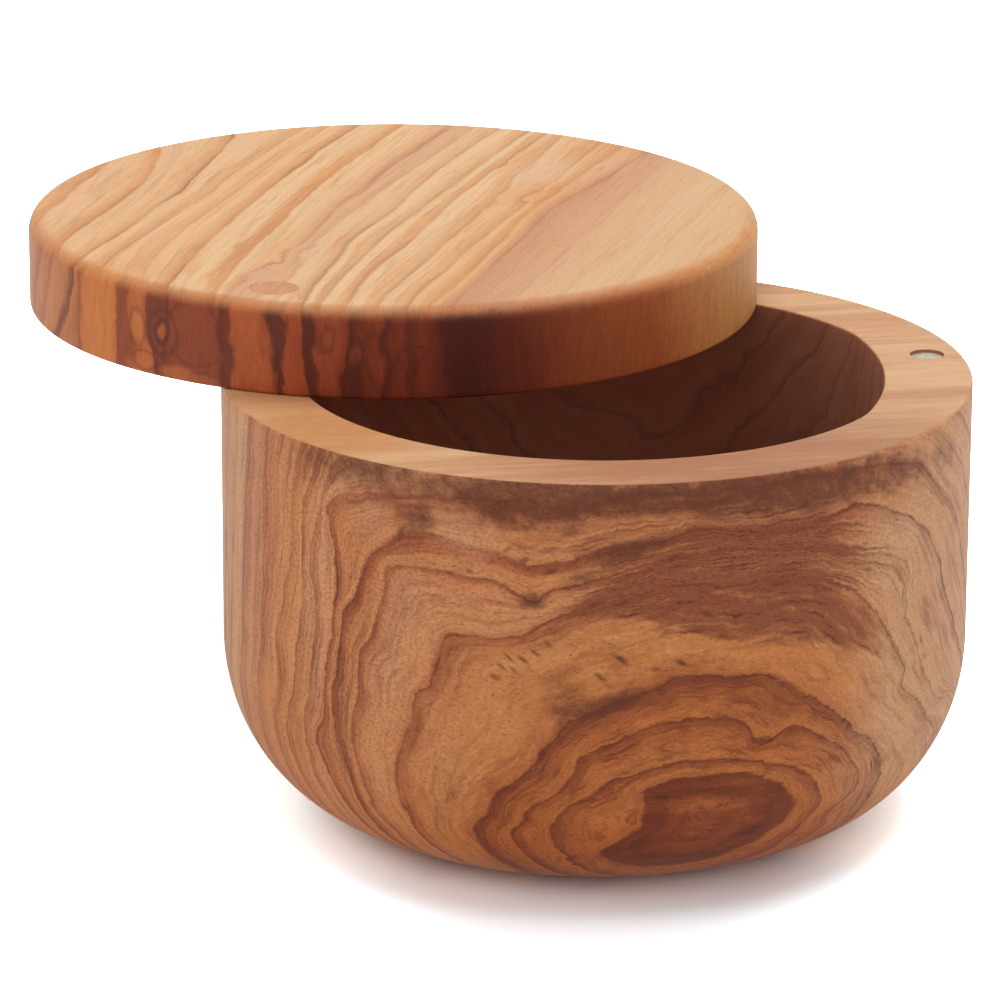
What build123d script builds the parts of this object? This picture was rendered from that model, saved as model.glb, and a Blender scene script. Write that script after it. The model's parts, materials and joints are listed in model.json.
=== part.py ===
from build123d import *
import math
import os

# Salt box: a thick-walled bowl turned from one block of wood, closed by a flat
# wooden lid that swings sideways on one upright screw in the rim.
# Millimetres, +Z up, origin at the centre of the bowl's flat base.
# The screw stands on the -X side of the rim. The lid is made closed, and then
# turned about the screw to the half-open place that shows the mouth.

# Bowl
bowl_radius = 57.0
bowl_height = 67.8
foot_round_width = 23.8  # the wall meets the base in a quarter ellipse, this wide
foot_round_height = 27.3  # and this high
rim_edge_round = 0.4
mouth_radius = 45.3
mouth_edge_round = 0.4
mouth_side_radius = 64.0  # beside the rim's magnet the mouth is a flatter arc, of this radius,
mouth_side_reach = 43.6  # which comes this near to the bowl's axis,
mouth_side_angle = -6.0  # at this many degrees from +X
floor_thickness = 11.6
cavity_round = 19.0

# Lid
lid_radius = 57.5
lid_thickness = 14.0
lid_top_round = 2.35
lid_under_round = 0.5
open_angle = 64.4  # degrees from closed to the modelled place, about +Z

# Pivot: a round-head screw whose plain shank is the lid's axle
pivot_distance = 48.9  # screw's axis to the bowl's axis
shank_radius = 1.75
running_clearance = 0.08  # radial, shank in the lid's bore
screw_depth = 21.0  # below the rim, point included
screw_point = 3.0
head_radius = 3.35
head_height = 2.4
head_dome = 1.5
driver_slot_length = 3.8
driver_slot_width = 0.9
driver_slot_depth = 1.2
washer_radius = 3.5
washer_hole_radius = 1.95
washer_thickness = 0.5
end_play = 0.1  # head above washer, so the lid is free to turn
plug_radius = 3.7
plug_thickness = 3.4
plug_gap = 0.2  # plug above the screw's head

# Magnets: one in the rim and one in the lid, which meet when the lid is closed
magnet_distance = 51.7
magnet_angle = 5.6  # degrees from +X
magnet_radius = 2.5
magnet_thickness = 2.0
magnet_edge_bevel = 0.15
pocket_radius = 2.65
glue_thickness = 0.2
rim_magnet_recess = 0.4
lid_magnet_recess = 0.2

# Worked out
foot_radius = bowl_radius - foot_round_width
lid_top = bowl_height + lid_thickness
head_seat = lid_top - plug_thickness - plug_gap - head_height
washer_seat = head_seat - end_play - washer_thickness
pivot_x = -pivot_distance
pivot_axis = Axis((pivot_x, 0, 0), (0, 0, 1))
magnet_x = magnet_distance * math.cos(math.radians(magnet_angle))
magnet_y = magnet_distance * math.sin(math.radians(magnet_angle))
thread_end = bowl_height - screw_depth


def upright_cylinder(x, y, radius, z_low, z_high):
    """A cylinder about a vertical axis between two heights."""
    height = z_high - z_low
    return Pos(x, y, z_low + height / 2) * Cylinder(radius, height)


def screw_shank():
    """The shank and its thread's outer form, down to the point."""
    start = thread_end + screw_point
    shank = upright_cylinder(pivot_x, 0, shank_radius, start, head_seat)
    point = Pos(pivot_x, 0, thread_end + screw_point / 2) * Cone(0.2, shank_radius, screw_point)
    return shank + point


def make_block():
    """The outside of the bowl, solid: its profile revolved."""
    with BuildPart() as block:
        with BuildSketch(Plane.XZ):
            with BuildLine():
                base = Line((0, 0), (foot_radius, 0))
                foot = EllipticalCenterArc(
                    (foot_radius, foot_round_height),
                    foot_round_width,
                    foot_round_height,
                    start_angle=270,
                    arc_size=90,
                )
                side = Line(foot @ 1, (bowl_radius, bowl_height - rim_edge_round))
                rim_edge = JernArc(side @ 1, side % 1, rim_edge_round, 90)
                rim = Line(rim_edge @ 1, (0, bowl_height))
                Line(rim @ 1, base @ 0)
            make_face()
        revolve(axis=Axis.Z)
    return block.part


def make_cavity():
    """The hollow for the salt: a revolved pocket with a round corner and one flatter side."""
    cavity_top = bowl_height + 5
    with BuildPart() as cavity:
        with BuildSketch(Plane.XZ):
            with BuildLine():
                top = Line((0, cavity_top), (mouth_radius, cavity_top))
                wall = Line(top @ 1, (mouth_radius, floor_thickness + cavity_round))
                corner = JernArc(wall @ 1, wall % 1, cavity_round, -90)
                floor = Line(corner @ 1, (0, floor_thickness))
                Line(floor @ 1, top @ 0)
            make_face()
        revolve(axis=Axis.Z)
    offset = mouth_side_reach - mouth_side_radius
    side_x = offset * math.cos(math.radians(mouth_side_angle))
    side_y = offset * math.sin(math.radians(mouth_side_angle))
    side = upright_cylinder(side_x, side_y, mouth_side_radius, 0, cavity_top)
    return cavity.part & side


def make_bowl():
    """The turned bowl, with its cavity, the magnet's pocket and the screw's hole."""
    bowl = make_block() - make_cavity()
    mouth_edges = bowl.edges().filter_by(
        lambda edge: math.hypot((edge @ 0).X, (edge @ 0).Y) < mouth_radius + 1
        and (edge @ 0).Z > bowl_height - 0.001
        and (edge @ 1).Z > bowl_height - 0.001
    )
    bowl = fillet(mouth_edges, mouth_edge_round)
    pocket_low = bowl_height - rim_magnet_recess - magnet_thickness - glue_thickness
    pocket = upright_cylinder(magnet_x, magnet_y, pocket_radius, pocket_low, bowl_height + 1)
    return bowl - pocket - screw_shank()


def make_lid():
    """The flat lid, closed on the rim: a disc with a soft top edge, bored for the pivot."""
    with BuildPart() as lid:
        with BuildSketch(Plane.XZ):
            with BuildLine():
                underside = Line((0, bowl_height), (lid_radius - lid_under_round, bowl_height))
                under_edge = JernArc(underside @ 1, underside % 1, lid_under_round, 90)
                side = Line(under_edge @ 1, (lid_radius, lid_top - lid_top_round))
                top_edge = JernArc(side @ 1, side % 1, lid_top_round, 90)
                top = Line(top_edge @ 1, (0, lid_top))
                Line(top @ 1, underside @ 0)
            make_face()
        revolve(axis=Axis.Z)
    bore_radius = shank_radius + running_clearance
    bore = upright_cylinder(pivot_x, 0, bore_radius, bowl_height - 1, lid_top)
    counterbore = upright_cylinder(pivot_x, 0, plug_radius, washer_seat, lid_top + 1)
    pocket_high = bowl_height + lid_magnet_recess + magnet_thickness + glue_thickness
    pocket = upright_cylinder(magnet_x, magnet_y, pocket_radius, bowl_height - 1, pocket_high)
    return lid.part - bore - counterbore - pocket


def make_pivot_screw():
    """A round-head wood screw with a crossed driver slot, its thread left plain."""
    head = upright_cylinder(pivot_x, 0, head_radius, head_seat, head_seat + head_height)
    head = fillet(head.edges().group_by(Axis.Z)[-1], head_dome)
    slot_z = head_seat + head_height - driver_slot_depth / 2
    for turn in (0, 90):
        slot = Box(driver_slot_length, driver_slot_width, driver_slot_depth)
        head -= Pos(pivot_x, 0, slot_z) * Rot(0, 0, turn) * slot
    return head + screw_shank()


def make_pivot_washer():
    """The thin washer between the screw's head and the lid's wood."""
    washer_top = washer_seat + washer_thickness
    disc = upright_cylinder(pivot_x, 0, washer_radius, washer_seat, washer_top)
    hole = upright_cylinder(pivot_x, 0, washer_hole_radius, washer_seat - 1, washer_top + 1)
    return disc - hole


def make_pivot_plug():
    """The wooden plug glued in over the screw, level with the lid's top."""
    return upright_cylinder(pivot_x, 0, plug_radius, lid_top - plug_thickness, lid_top)


def make_magnet(z_low):
    """A disc magnet with its edges just broken."""
    magnet = upright_cylinder(magnet_x, magnet_y, magnet_radius, z_low, z_low + magnet_thickness)
    return chamfer(magnet.edges().filter_by(GeomType.CIRCLE), magnet_edge_bevel)


def make_glue(z_low, z_high, magnet):
    """The glue that fills a magnet's pocket behind and around it."""
    return upright_cylinder(magnet_x, magnet_y, pocket_radius, z_low, z_high) - magnet


os.makedirs("parts", exist_ok=True)

rim_magnet_low = bowl_height - rim_magnet_recess - magnet_thickness
rim_magnet = make_magnet(rim_magnet_low)
rim_glue_top = rim_magnet_low + magnet_thickness - magnet_edge_bevel
rim_glue = make_glue(rim_magnet_low - glue_thickness, rim_glue_top, rim_magnet)

lid_magnet_low = bowl_height + lid_magnet_recess
lid_magnet = make_magnet(lid_magnet_low)
lid_glue_top = lid_magnet_low + magnet_thickness + glue_thickness
lid_glue = make_glue(lid_magnet_low + magnet_edge_bevel, lid_glue_top, lid_magnet)

still_nodes = {
    "bowl": make_bowl(),
    "pivot_screw": make_pivot_screw(),
    "rim_magnet": rim_magnet,
    "rim_magnet_glue": rim_glue,
}
swinging_nodes = {
    "lid": make_lid(),
    "pivot_washer": make_pivot_washer(),
    "pivot_plug": make_pivot_plug(),
    "lid_magnet": lid_magnet,
    "lid_magnet_glue": lid_glue,
}

for name, shape in still_nodes.items():
    export_step(shape, f"parts/{name}.step")
for name, shape in swinging_nodes.items():
    export_step(shape.rotate(pivot_axis, open_angle), f"parts/{name}.step")
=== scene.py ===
import json
import math

import bpy
import numpy as np
from mathutils import Matrix, Vector


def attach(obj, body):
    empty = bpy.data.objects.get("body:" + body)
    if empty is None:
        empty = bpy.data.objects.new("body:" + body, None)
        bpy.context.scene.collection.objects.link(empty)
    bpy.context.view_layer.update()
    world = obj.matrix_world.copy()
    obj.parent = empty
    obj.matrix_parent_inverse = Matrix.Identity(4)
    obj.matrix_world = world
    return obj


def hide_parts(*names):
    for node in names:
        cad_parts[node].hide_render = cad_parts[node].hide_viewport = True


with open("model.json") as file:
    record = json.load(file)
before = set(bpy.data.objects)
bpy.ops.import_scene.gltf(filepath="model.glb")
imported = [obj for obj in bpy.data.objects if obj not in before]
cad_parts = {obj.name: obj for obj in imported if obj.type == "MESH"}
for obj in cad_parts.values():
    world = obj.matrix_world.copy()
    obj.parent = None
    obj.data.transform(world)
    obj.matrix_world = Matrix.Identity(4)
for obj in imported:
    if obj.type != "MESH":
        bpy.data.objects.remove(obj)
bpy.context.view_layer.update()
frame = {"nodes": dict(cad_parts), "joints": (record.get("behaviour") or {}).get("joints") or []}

nodes = frame["nodes"]
hinge = frame["joints"][0]
mm = 0.001
tiny = 0.001  # mm, for comparing places that should be equal
unturned = (0, 0, 0)
print("salt box: frame loaded,", len(nodes), "nodes")


photoView = {
    "place": (-0.08997, -0.85160, 0.32193),  # metres
    "turn": 5.056,  # degrees the view is turned from +Y towards +X
    "dip": 17.796,  # degrees below level
    "roll": -0.252,  # degrees, positive turns the camera's right side up
    "lens": 211.76,  # mm
    "sensor": 36.0,  # mm
    "clip": (0.01, 50.0),  # metres
}


def placeCamera(view):
    data = bpy.data.cameras.new("photoCamera")
    data.sensor_width = view["sensor"]
    data.lens = view["lens"]
    data.clip_start, data.clip_end = view["clip"]
    camera = bpy.data.objects.new("photoCamera", data)
    bpy.context.scene.collection.objects.link(camera)
    turn, dip, roll = (math.radians(view[key]) for key in ("turn", "dip", "roll"))
    ahead = Vector((math.sin(turn) * math.cos(dip), math.cos(turn) * math.cos(dip), -math.sin(dip)))
    right = Vector((math.cos(turn), -math.sin(turn), 0.0))
    up = right.cross(ahead)
    rolledRight = right * math.cos(roll) - up * math.sin(roll)
    rolledUp = up * math.cos(roll) + right * math.sin(roll)
    facing = Matrix((rolledRight, rolledUp, -ahead)).transposed().to_4x4()
    camera.matrix_world = Matrix.Translation(view["place"]) @ facing
    bpy.context.scene.camera = camera


placeCamera(photoView)
bpy.context.scene.view_settings.view_transform = "Standard"
print("camera placed")


class Wire:
    # one socket's value; sums on it add Math nodes to its finish
    def __init__(self, finish, socket):
        self.finish = finish
        self.socket = socket

    def maths(self, operation, other=0.0):
        return self.finish.maths(operation, self, other)

    def __add__(self, other):
        return self.maths("ADD", other)

    def __sub__(self, other):
        return self.maths("SUBTRACT", other)

    def __rsub__(self, other):
        return self.finish.maths("SUBTRACT", other, self)

    def __mul__(self, other):
        return self.maths("MULTIPLY", other)

    def __truediv__(self, other):
        return self.maths("DIVIDE", other)

    def __abs__(self):
        return self.maths("ABSOLUTE")

    __radd__ = __add__
    __rmul__ = __mul__


class Finish:
    # the node tree of a material, or of the world
    def __init__(self, owner):
        self.owner = owner
        owner.use_nodes = True
        self.tree = owner.node_tree
        self.tree.nodes.clear()
        self.spot = None

    def add(self, kind, settings=None, sockets=None, output=0):
        node = self.tree.nodes.new("ShaderNode" + kind)
        for key, value in (settings or {}).items():
            if key == "stops":
                self.setStops(node.color_ramp, value)
            else:
                setattr(node, key, value)
        for key, value in (sockets or {}).items():
            if isinstance(value, Wire):
                self.tree.links.new(value.socket, node.inputs[key])
            else:
                node.inputs[key].default_value = value
        return Wire(self, node.outputs[output]) if len(node.outputs) else None

    def setStops(self, ramp, stops):
        while len(ramp.elements) > 1:
            ramp.elements.remove(ramp.elements[-1])
        for i, (place, colour) in enumerate(stops):
            element = ramp.elements[0] if i == 0 else ramp.elements.new(place)
            element.position = place
            element.color = (*colour, 1.0)

    def maths(self, operation, first, second):
        return self.add("Math", {"operation": operation}, {0: first, 1: second})

    def places(self):
        # Object coordinates in millimetres
        if self.spot is None:
            here = self.add("TexCoord", output="Object")
            self.spot = self.add("VectorMath", {"operation": "SCALE"}, {0: here, "Scale": 1000.0})
        return self.spot

    def vector(self, x, y, z=0.0):
        return self.add("CombineXYZ", None, {0: x, 1: y, 2: z})

    def length(self, vector):
        return self.add("VectorMath", {"operation": "LENGTH"}, {0: vector}, output=1)

    def stored(self, name):
        return self.add("Attribute", {"attribute_name": name}, output="Fac")

    def stretched(self, vector, sizes, tilt=unturned, centre=unturned):
        # coordinates that count in steps of these sizes along axes turned by tilt degrees
        turn = tuple(math.radians(angle) for angle in tilt)
        sockets = {"Vector": vector, "Location": centre, "Rotation": turn, "Scale": sizes}
        return self.add("Mapping", {"vector_type": "TEXTURE"}, sockets)

    def near(self, vector, centre, sizes, tilt=unturned):
        # (1 - distance) squared, with the distance from the centre counted in these half sizes
        reach = self.stretched(vector, sizes, tilt, centre)
        return self.add("TexGradient", {"gradient_type": "QUADRATIC_SPHERE"}, {0: reach}, output="Fac")

    def noiseAt(self, vector, detail, rough=0.5, along=None):
        sockets = {"Vector": vector, "Scale": 1.0, "Detail": detail, "Roughness": rough}
        if along is not None:
            sockets["W"] = along
        return self.add("TexNoise", {"noise_dimensions": "3D" if along is None else "4D"}, sockets)

    def noise(self, sizes, detail, rough=0.5, tilt=unturned):
        # 0 to 1 in blotches of these sizes in mm, along axes turned by tilt degrees
        return self.noiseAt(self.stretched(self.places(), sizes, tilt), detail, rough)

    def smooth(self, value, low, high, least=0.0, most=1.0):
        # least at low and most at high, eased at both ends
        sockets = {"Value": value, "From Min": low, "From Max": high, "To Min": least, "To Max": most}
        return self.add("MapRange", {"interpolation_type": "SMOOTHSTEP"}, sockets)

    def ramp(self, value, stops):
        return self.add("ValToRGB", {"stops": stops}, {0: value})

    def longRamp(self, value, stops, last):
        # screen colours over 0 to last; one ramp holds 32 stops, so a longer list takes more ramps
        tone = None
        for start in range(0, len(stops) - 1, 30):
            part = stops[start:start + 31]
            ramp = self.ramp(value / last, [(place / last, paint(*colour)) for place, colour in part])
            beyond = value.maths("GREATER_THAN", part[0][0])
            tone = ramp if tone is None else self.blend(beyond, tone, ramp)
        return tone

    def lineShare(self, level, shares):
        # one share for each drawn line, taken at the line that the level has come to
        span = len(shares) + 2.0
        stops = [((i + 1.5) / span, (share, share, share)) for i, share in enumerate(shares)]
        return self.ramp((level + 0.5) / span, stops)

    def blend(self, share, under, over, mode="MIX"):
        sockets = {0: share, 6: under, 7: over}
        return self.add("Mix", {"data_type": "RGBA", "blend_type": mode}, sockets, output=2)

    def tinted(self, tone, share, colour):
        # the tone with this share of a screen colour over it
        return self.blend(share, tone, solid(*colour))

    def times(self, tone, factors):
        return self.blend(1.0, tone, (*factors, 1.0), "MULTIPLY")

    def grained(self, tone, noise, low, high, reach=0.25):
        # the tone times low where the noise is under its middle by reach, and times high above it
        stops = [(0.5 - reach, low), (0.5, (1, 1, 1)), (0.5 + reach, high)]
        return self.blend(1.0, tone, self.ramp(noise, stops), "MULTIPLY")

    def surface(self, tone, rough, height, depth, gloss=0.5, metal=0.0):
        # the material itself, felt as a bump that is depth metres deep
        bump = self.add("Bump", None, {"Height": height, "Strength": 1.0, "Distance": depth})
        sockets = {"Base Color": tone, "Roughness": rough, "Metallic": metal, "Normal": bump}
        sockets["Specular IOR Level"] = gloss
        return self.close(self.add("BsdfPrincipled", None, sockets))

    def close(self, shader):
        kind = "OutputWorld" if isinstance(self.owner, bpy.types.World) else "OutputMaterial"
        self.add(kind, None, {"Surface": shader})
        return self.owner


def newFinish(name):
    return Finish(bpy.data.materials.new(name))


def paint(red, green, blue):
    # a colour given as it looks on a screen, 0 to 255, made linear
    shares = np.array([red, green, blue]) / 255.0
    linear = np.where(shares <= 0.04045, shares / 12.92, ((shares + 0.055) / 1.055) ** 2.4)
    return tuple(float(share) for share in linear)


def solid(red, green, blue):
    return (*paint(red, green, blue), 1.0)


studio = {
    # name, power in watts, diameter and place in metres
    "softboxes": [
        ("overheadLight", 7.6, 1.1, (0.10, 0.15, 1.15)),
        ("fillLight", 1.0, 0.9, (0.75, -0.95, 0.55)),
        ("sideLight", 1.8, 0.9, (-1.0, -0.4, 0.9)),
    ],
    "target": (0, 0, 0.04),  # metres, what the softboxes face
    "skyStrength": 0.5,
    "floorSize": 12.0,  # metres
    "floorColour": (0.8, 0.8, 0.8, 1),
    "floorNear": (1.52, 1.58, 1.63, 1),  # how the camera sees the paper by the box
    "floorFar": (2.8, 3.5, 3.75, 1),  # and away from it
    "shadowReach": (22.0, 55.0),  # mm from shadowPlace over which near becomes far
    "shadowPlace": (-2.8, -31.9, 0.0),
    "shadowLong": 1.33,
    "floorMirrored": 0.4,
}


def addSoftbox(name, power, size, place, target):
    data = bpy.data.lights.new(name, "AREA")
    data.shape = "DISK"
    data.size = size
    data.energy = power
    lamp = bpy.data.objects.new(name, data)
    lamp.location = place
    lamp.rotation_euler = (Vector(target) - Vector(place)).to_track_quat("-Z", "Y").to_euler()
    bpy.context.scene.collection.objects.link(lamp)


def seenRay(finish):
    # 1 for rays that show the background itself: camera, glossy and transmission
    kinds = ("Is Camera Ray", "Is Glossy Ray", "Is Transmission Ray")
    camera, glossy, through = (finish.add("LightPath", output=kind) for kind in kinds)
    return camera.maths("MAXIMUM", glossy).maths("MAXIMUM", through)


def makeSky(strength):
    # lights the room by strength, and is seen as plain white
    world = bpy.data.worlds.new("whiteRoom")
    bpy.context.scene.world = world
    sky = Finish(world)
    seen = strength + (1.0 - strength) * seenRay(sky)
    sky.close(sky.add("Background", None, {"Color": (1, 1, 1, 1), "Strength": seen}))


def makeFloorPaper(values):
    # the camera sees the paper brighter, most of all away from the box, so that it is white there:
    # near colour to far colour by the distance from shadowPlace, in an oval longer along the view
    paper = newFinish("floorPaper")
    direct = paper.add("LightPath", output="Is Camera Ray")
    oval, turn = (1, values["shadowLong"], 1), (0, 0, -photoView["turn"])
    reach = paper.length(paper.stretched(paper.places(), oval, turn, values["shadowPlace"]))
    seen = paper.blend(paper.smooth(reach, *values["shadowReach"]), values["floorNear"], values["floorFar"])
    matte = paper.add("BsdfDiffuse", None, {"Color": paper.blend(direct, values["floorColour"], seen)})
    mirrored = values["floorMirrored"] * (seenRay(paper) - direct)
    glow = paper.add("Emission", None, {"Color": (1, 1, 1, 1), "Strength": mirrored})
    return paper.close(paper.add("AddShader", None, {0: matte, 1: glow}))


def lightStudio(values):
    for name, power, size, place in values["softboxes"]:
        addSoftbox(name, power, size, place, values["target"])
    makeSky(values["skyStrength"])
    half = values["floorSize"] / 2
    mesh = bpy.data.meshes.new("floor")
    corners = [(-half, -half, 0), (half, -half, 0), (half, half, 0), (-half, half, 0)]
    mesh.from_pydata(corners, [], [(0, 1, 2, 3)])
    mesh.materials.append(makeFloorPaper(values))
    floor = bpy.data.objects.new("floor", mesh)
    bpy.context.scene.collection.objects.link(floor)


lightStudio(studio)
print("lights and floor made")


def arc(centre, radii, start, stop, steps):
    # points centre + (radii x cos, radii x sin) of an angle running from start to stop degrees
    angle = np.radians(np.linspace(start, stop, steps + 1))
    return np.stack([centre[0] + radii[0] * np.cos(angle), centre[1] + radii[1] * np.sin(angle)], 1)


def run(first, last, steps):
    # evenly spaced points on the straight line from first to last
    share = np.linspace(0.0, 1.0, steps + 1)[:, None]
    return np.array(first) * (1 - share) + np.array(last) * share


def runs(points, steps):
    # straight lines from point to point, each with its own number of steps
    return [run(first, last, count) for first, last, count in zip(points, points[1:], steps)]


def joinProfile(parts):
    # the parts end to end, with repeated points dropped
    points = np.concatenate(parts)
    keep = np.concatenate([[True], np.linalg.norm(np.diff(points, axis=0), axis=1) > 1e-6])
    return points[keep]


def turned(name, profile, segments, centre=(0.0, 0.0), squeeze=None):
    # a profile (radius, height) in mm swept round the z axis: x = r cos a, y = r sin a
    # the profile starts and ends on the axis, where a ring becomes one vertex
    # squeeze(radius, height, angle) gives the radius of a shape that isn't quite round
    angle = np.linspace(0.0, 2 * np.pi, segments, endpoint=False)
    inner = profile[1:-1]
    radius = np.repeat(inner[:, :1], segments, axis=1)
    height = np.repeat(inner[:, 1:], segments, axis=1)
    if squeeze:
        radius = squeeze(radius, height, angle[None, :])
    x, y = radius * np.cos(angle) + centre[0], radius * np.sin(angle) + centre[1]
    rings = np.stack([x, y, height], axis=2).reshape(-1, 3)
    ends = np.array([[*centre, profile[0, 1]], [*centre, profile[-1, 1]]])
    verts = np.concatenate([rings, ends]) * mm
    ring = np.arange(len(inner) - 1)[:, None] * segments
    here = np.arange(segments)[None, :]
    following = (here + 1) % segments
    corners = [ring + here, ring + following, ring + segments + following, ring + segments + here]
    quads = np.stack(corners, -1).reshape(-1, 4)
    here, following = here[0], following[0]
    lastRing = (len(inner) - 1) * segments
    startFan = np.stack([np.full(segments, len(rings)), following, here], -1)
    endFan = np.stack([np.full(segments, len(rings) + 1), lastRing + here, lastRing + following], -1)
    mesh = bpy.data.meshes.new(name)
    mesh.from_pydata(verts.tolist(), [], quads.tolist() + startFan.tolist() + endFan.tolist())
    mesh.update()
    piece = bpy.data.objects.new(name, mesh)
    bpy.context.scene.collection.objects.link(piece)
    return piece


def drill(centre, radius, low, high, segments=72):
    profile = joinProfile(runs([(0, low), (radius, low), (radius, high), (0, high)], (1, 1, 1)))
    return turned("drill", profile, segments, centre)


def cutAway(piece, cutters):
    # takes the cutters' volumes out of the piece, and removes the cutters
    for cutter in cutters:
        modifier = piece.modifiers.new("cut", "BOOLEAN")
        modifier.operation = "DIFFERENCE"
        modifier.solver = "EXACT"
        modifier.object = cutter
    bpy.context.view_layer.update()
    view = bpy.context.evaluated_depsgraph_get()
    result = bpy.data.meshes.new_from_object(piece.evaluated_get(view))
    piece.modifiers.clear()
    old = piece.data
    piece.data = result
    bpy.data.meshes.remove(old)
    for cutter in cutters:
        bpy.data.objects.remove(cutter)


def vertexPlaces(piece):
    # the vertices' places in mm, one row each
    places = np.empty(len(piece.data.vertices) * 3)
    piece.data.vertices.foreach_get("co", places)
    return places.reshape(-1, 3) / mm


def store(piece, name, values):
    piece.data.attributes.new(name, "FLOAT", "POINT").data.foreach_set("value", values.astype(np.float32))


def dress(piece, materials, choose=None):
    # gives the piece its materials; choose(face centres in mm) says which one each face wears
    piece.data.materials.clear()
    for material in materials:
        piece.data.materials.append(material)
    if choose:
        centres = np.empty(len(piece.data.polygons) * 3)
        piece.data.polygons.foreach_get("center", centres)
        choice = choose(centres.reshape(-1, 3) / mm)
        piece.data.polygons.foreach_set("material_index", choice.astype(np.int32))


sharpAbove = math.radians(30)


def settle(piece, body, replaced):
    piece.data.shade_smooth()
    piece.data.set_sharp_from_angle(angle=sharpAbove)
    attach(piece, body)
    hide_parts(*replaced)


def smoothStep(values, low, high):
    share = np.clip((values - low) / (high - low), 0.0, 1.0)
    return share * share * (3.0 - 2.0 * share)


def softLess(first, second, blend):
    # the smaller of the two, rounded over where they cross
    share = np.clip(0.5 + 0.5 * (second - first) / blend, 0.0, 1.0)
    return second * (1 - share) + first * share - blend * share * (1 - share)


def softPatch(across, down, spot):
    # a soft oval, strength x exp(-distance cubed): spot holds the middle's across and down, the
    # half width, the half height, the tilt in degrees and the strength
    x, y, wide, high, tilt, strength = spot
    cos, sin = math.cos(math.radians(tilt)), math.sin(math.radians(tilt))
    dx, dy = across - x, down - y
    distance = np.hypot((dx * cos + dy * sin) / wide, (dy * cos - dx * sin) / high)
    return strength * np.exp(-distance ** 3)


def storePatches(piece, across, down, patches):
    # each named list of soft ovals as one attribute, the ovals' sum held within 0 and 1
    for name, spots in patches.items():
        store(piece, name, np.clip(sum(softPatch(across, down, spot) for spot in spots), 0.0, 1.0))


pivot = (hinge["pos_m"][0] / mm, hinge["pos_m"][1] / mm)
openDegrees = 64.4  # how far the photo's lid is swung from closed
openAngle = math.radians(openDegrees)


def swung(x, y):
    # a place in the closed lid, turned about the pivot to where it is at rest
    dx, dy = x - pivot[0], y - pivot[1]
    cos, sin = math.cos(openAngle), math.sin(openAngle)
    return (pivot[0] + dx * cos - dy * sin, pivot[1] + dx * sin + dy * cos)


magnetAngle = math.radians(5.6)
magnetSpot = (51.7 * math.cos(magnetAngle), 51.7 * math.sin(magnetAngle))


bowlShape = {
    # radii, heights and depths in mm, angles in degrees
    "radius": 57.0, "height": 67.8, "footWide": 23.8, "footHigh": 27.3, "rimRound": 0.4,
    "mouth": 45.3, "mouthRound": 0.4, "floor": 11.6, "cavityRound": 19.0,
    "sideRadius": 64.0, "sideReach": 43.6, "sideAngle": -6.0, "sideBlend": 0.35,  # the mouth's flatter side
    "screwBore": 1.75, "screwDeep": 21.0, "pocket": 2.65, "pocketDeep": 2.6,
    "edgeStep": 0.2,  # a short first step that keeps the shading of a flat face flat
    "segments": 320,
}


def mouthSqueeze(radius, height, angle):
    # inside the mouth the radius is at most that of a flatter arc: the place where the ray
    # at this angle meets a circle of sideRadius whose far side reaches sideReach
    shape = bowlShape
    offset = shape["sideRadius"] - shape["sideReach"]
    turn = angle - math.radians(shape["sideAngle"])
    reach = np.sqrt(shape["sideRadius"] ** 2 - (offset * np.sin(turn)) ** 2) - offset * np.cos(turn)
    side = softLess(reach, shape["mouth"], shape["sideBlend"])
    edge = shape["mouth"] + shape["mouthRound"] + shape["edgeStep"] + tiny
    inside = (height > shape["floor"] - tiny) & (radius < edge)
    lip = inside & (radius > shape["mouth"] - tiny)
    radius = np.where(lip, radius - shape["mouth"] + side, radius)
    return np.where(inside & ~lip, np.minimum(radius, side), radius)


def makeBowl(shape):
    radius, mouth, rim, floor = shape["radius"], shape["mouth"], shape["height"], shape["floor"]
    foot, footHigh = radius - shape["footWide"], shape["footHigh"]
    outerRound, innerRound, cavityRound = shape["rimRound"], shape["mouthRound"], shape["cavityRound"]
    outer, inner, step = radius - outerRound, mouth + innerRound, shape["edgeStep"]
    profile = joinProfile([
        *runs([(0, 0), (foot - 2 * step, 0), (foot, 0)], (16, 1)),
        arc((foot, footHigh), (shape["footWide"], footHigh), -90, 0, 44),
        run((radius, footHigh), (radius, rim - outerRound), 44),
        arc((outer, rim - outerRound), (outerRound, outerRound), 0, 90, 6),
        *runs([(outer, rim), (outer - step, rim), (inner + step, rim), (inner, rim)], (1, 4, 1)),
        arc((inner, rim - innerRound), (innerRound, innerRound), 90, 180, 6),
        run((mouth, rim - innerRound), (mouth, floor + cavityRound), 16),
        arc((mouth - cavityRound, floor + cavityRound), (cavityRound, cavityRound), 0, -90, 28),
        run((mouth - cavityRound, floor), (0, floor), 12),
    ])
    bowl = turned("bowlTurned", profile, shape["segments"], squeeze=mouthSqueeze)
    cutAway(bowl, [
        drill(pivot, shape["screwBore"], rim - shape["screwDeep"], rim + 2),
        drill(magnetSpot, shape["pocket"], rim - shape["pocketDeep"], rim + 2, 96),
    ])
    settle(bowl, "bowl_body", ["bowl"])
    return bowl


bowlPiece = makeBowl(bowlShape)
print("bowl turned")

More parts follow.
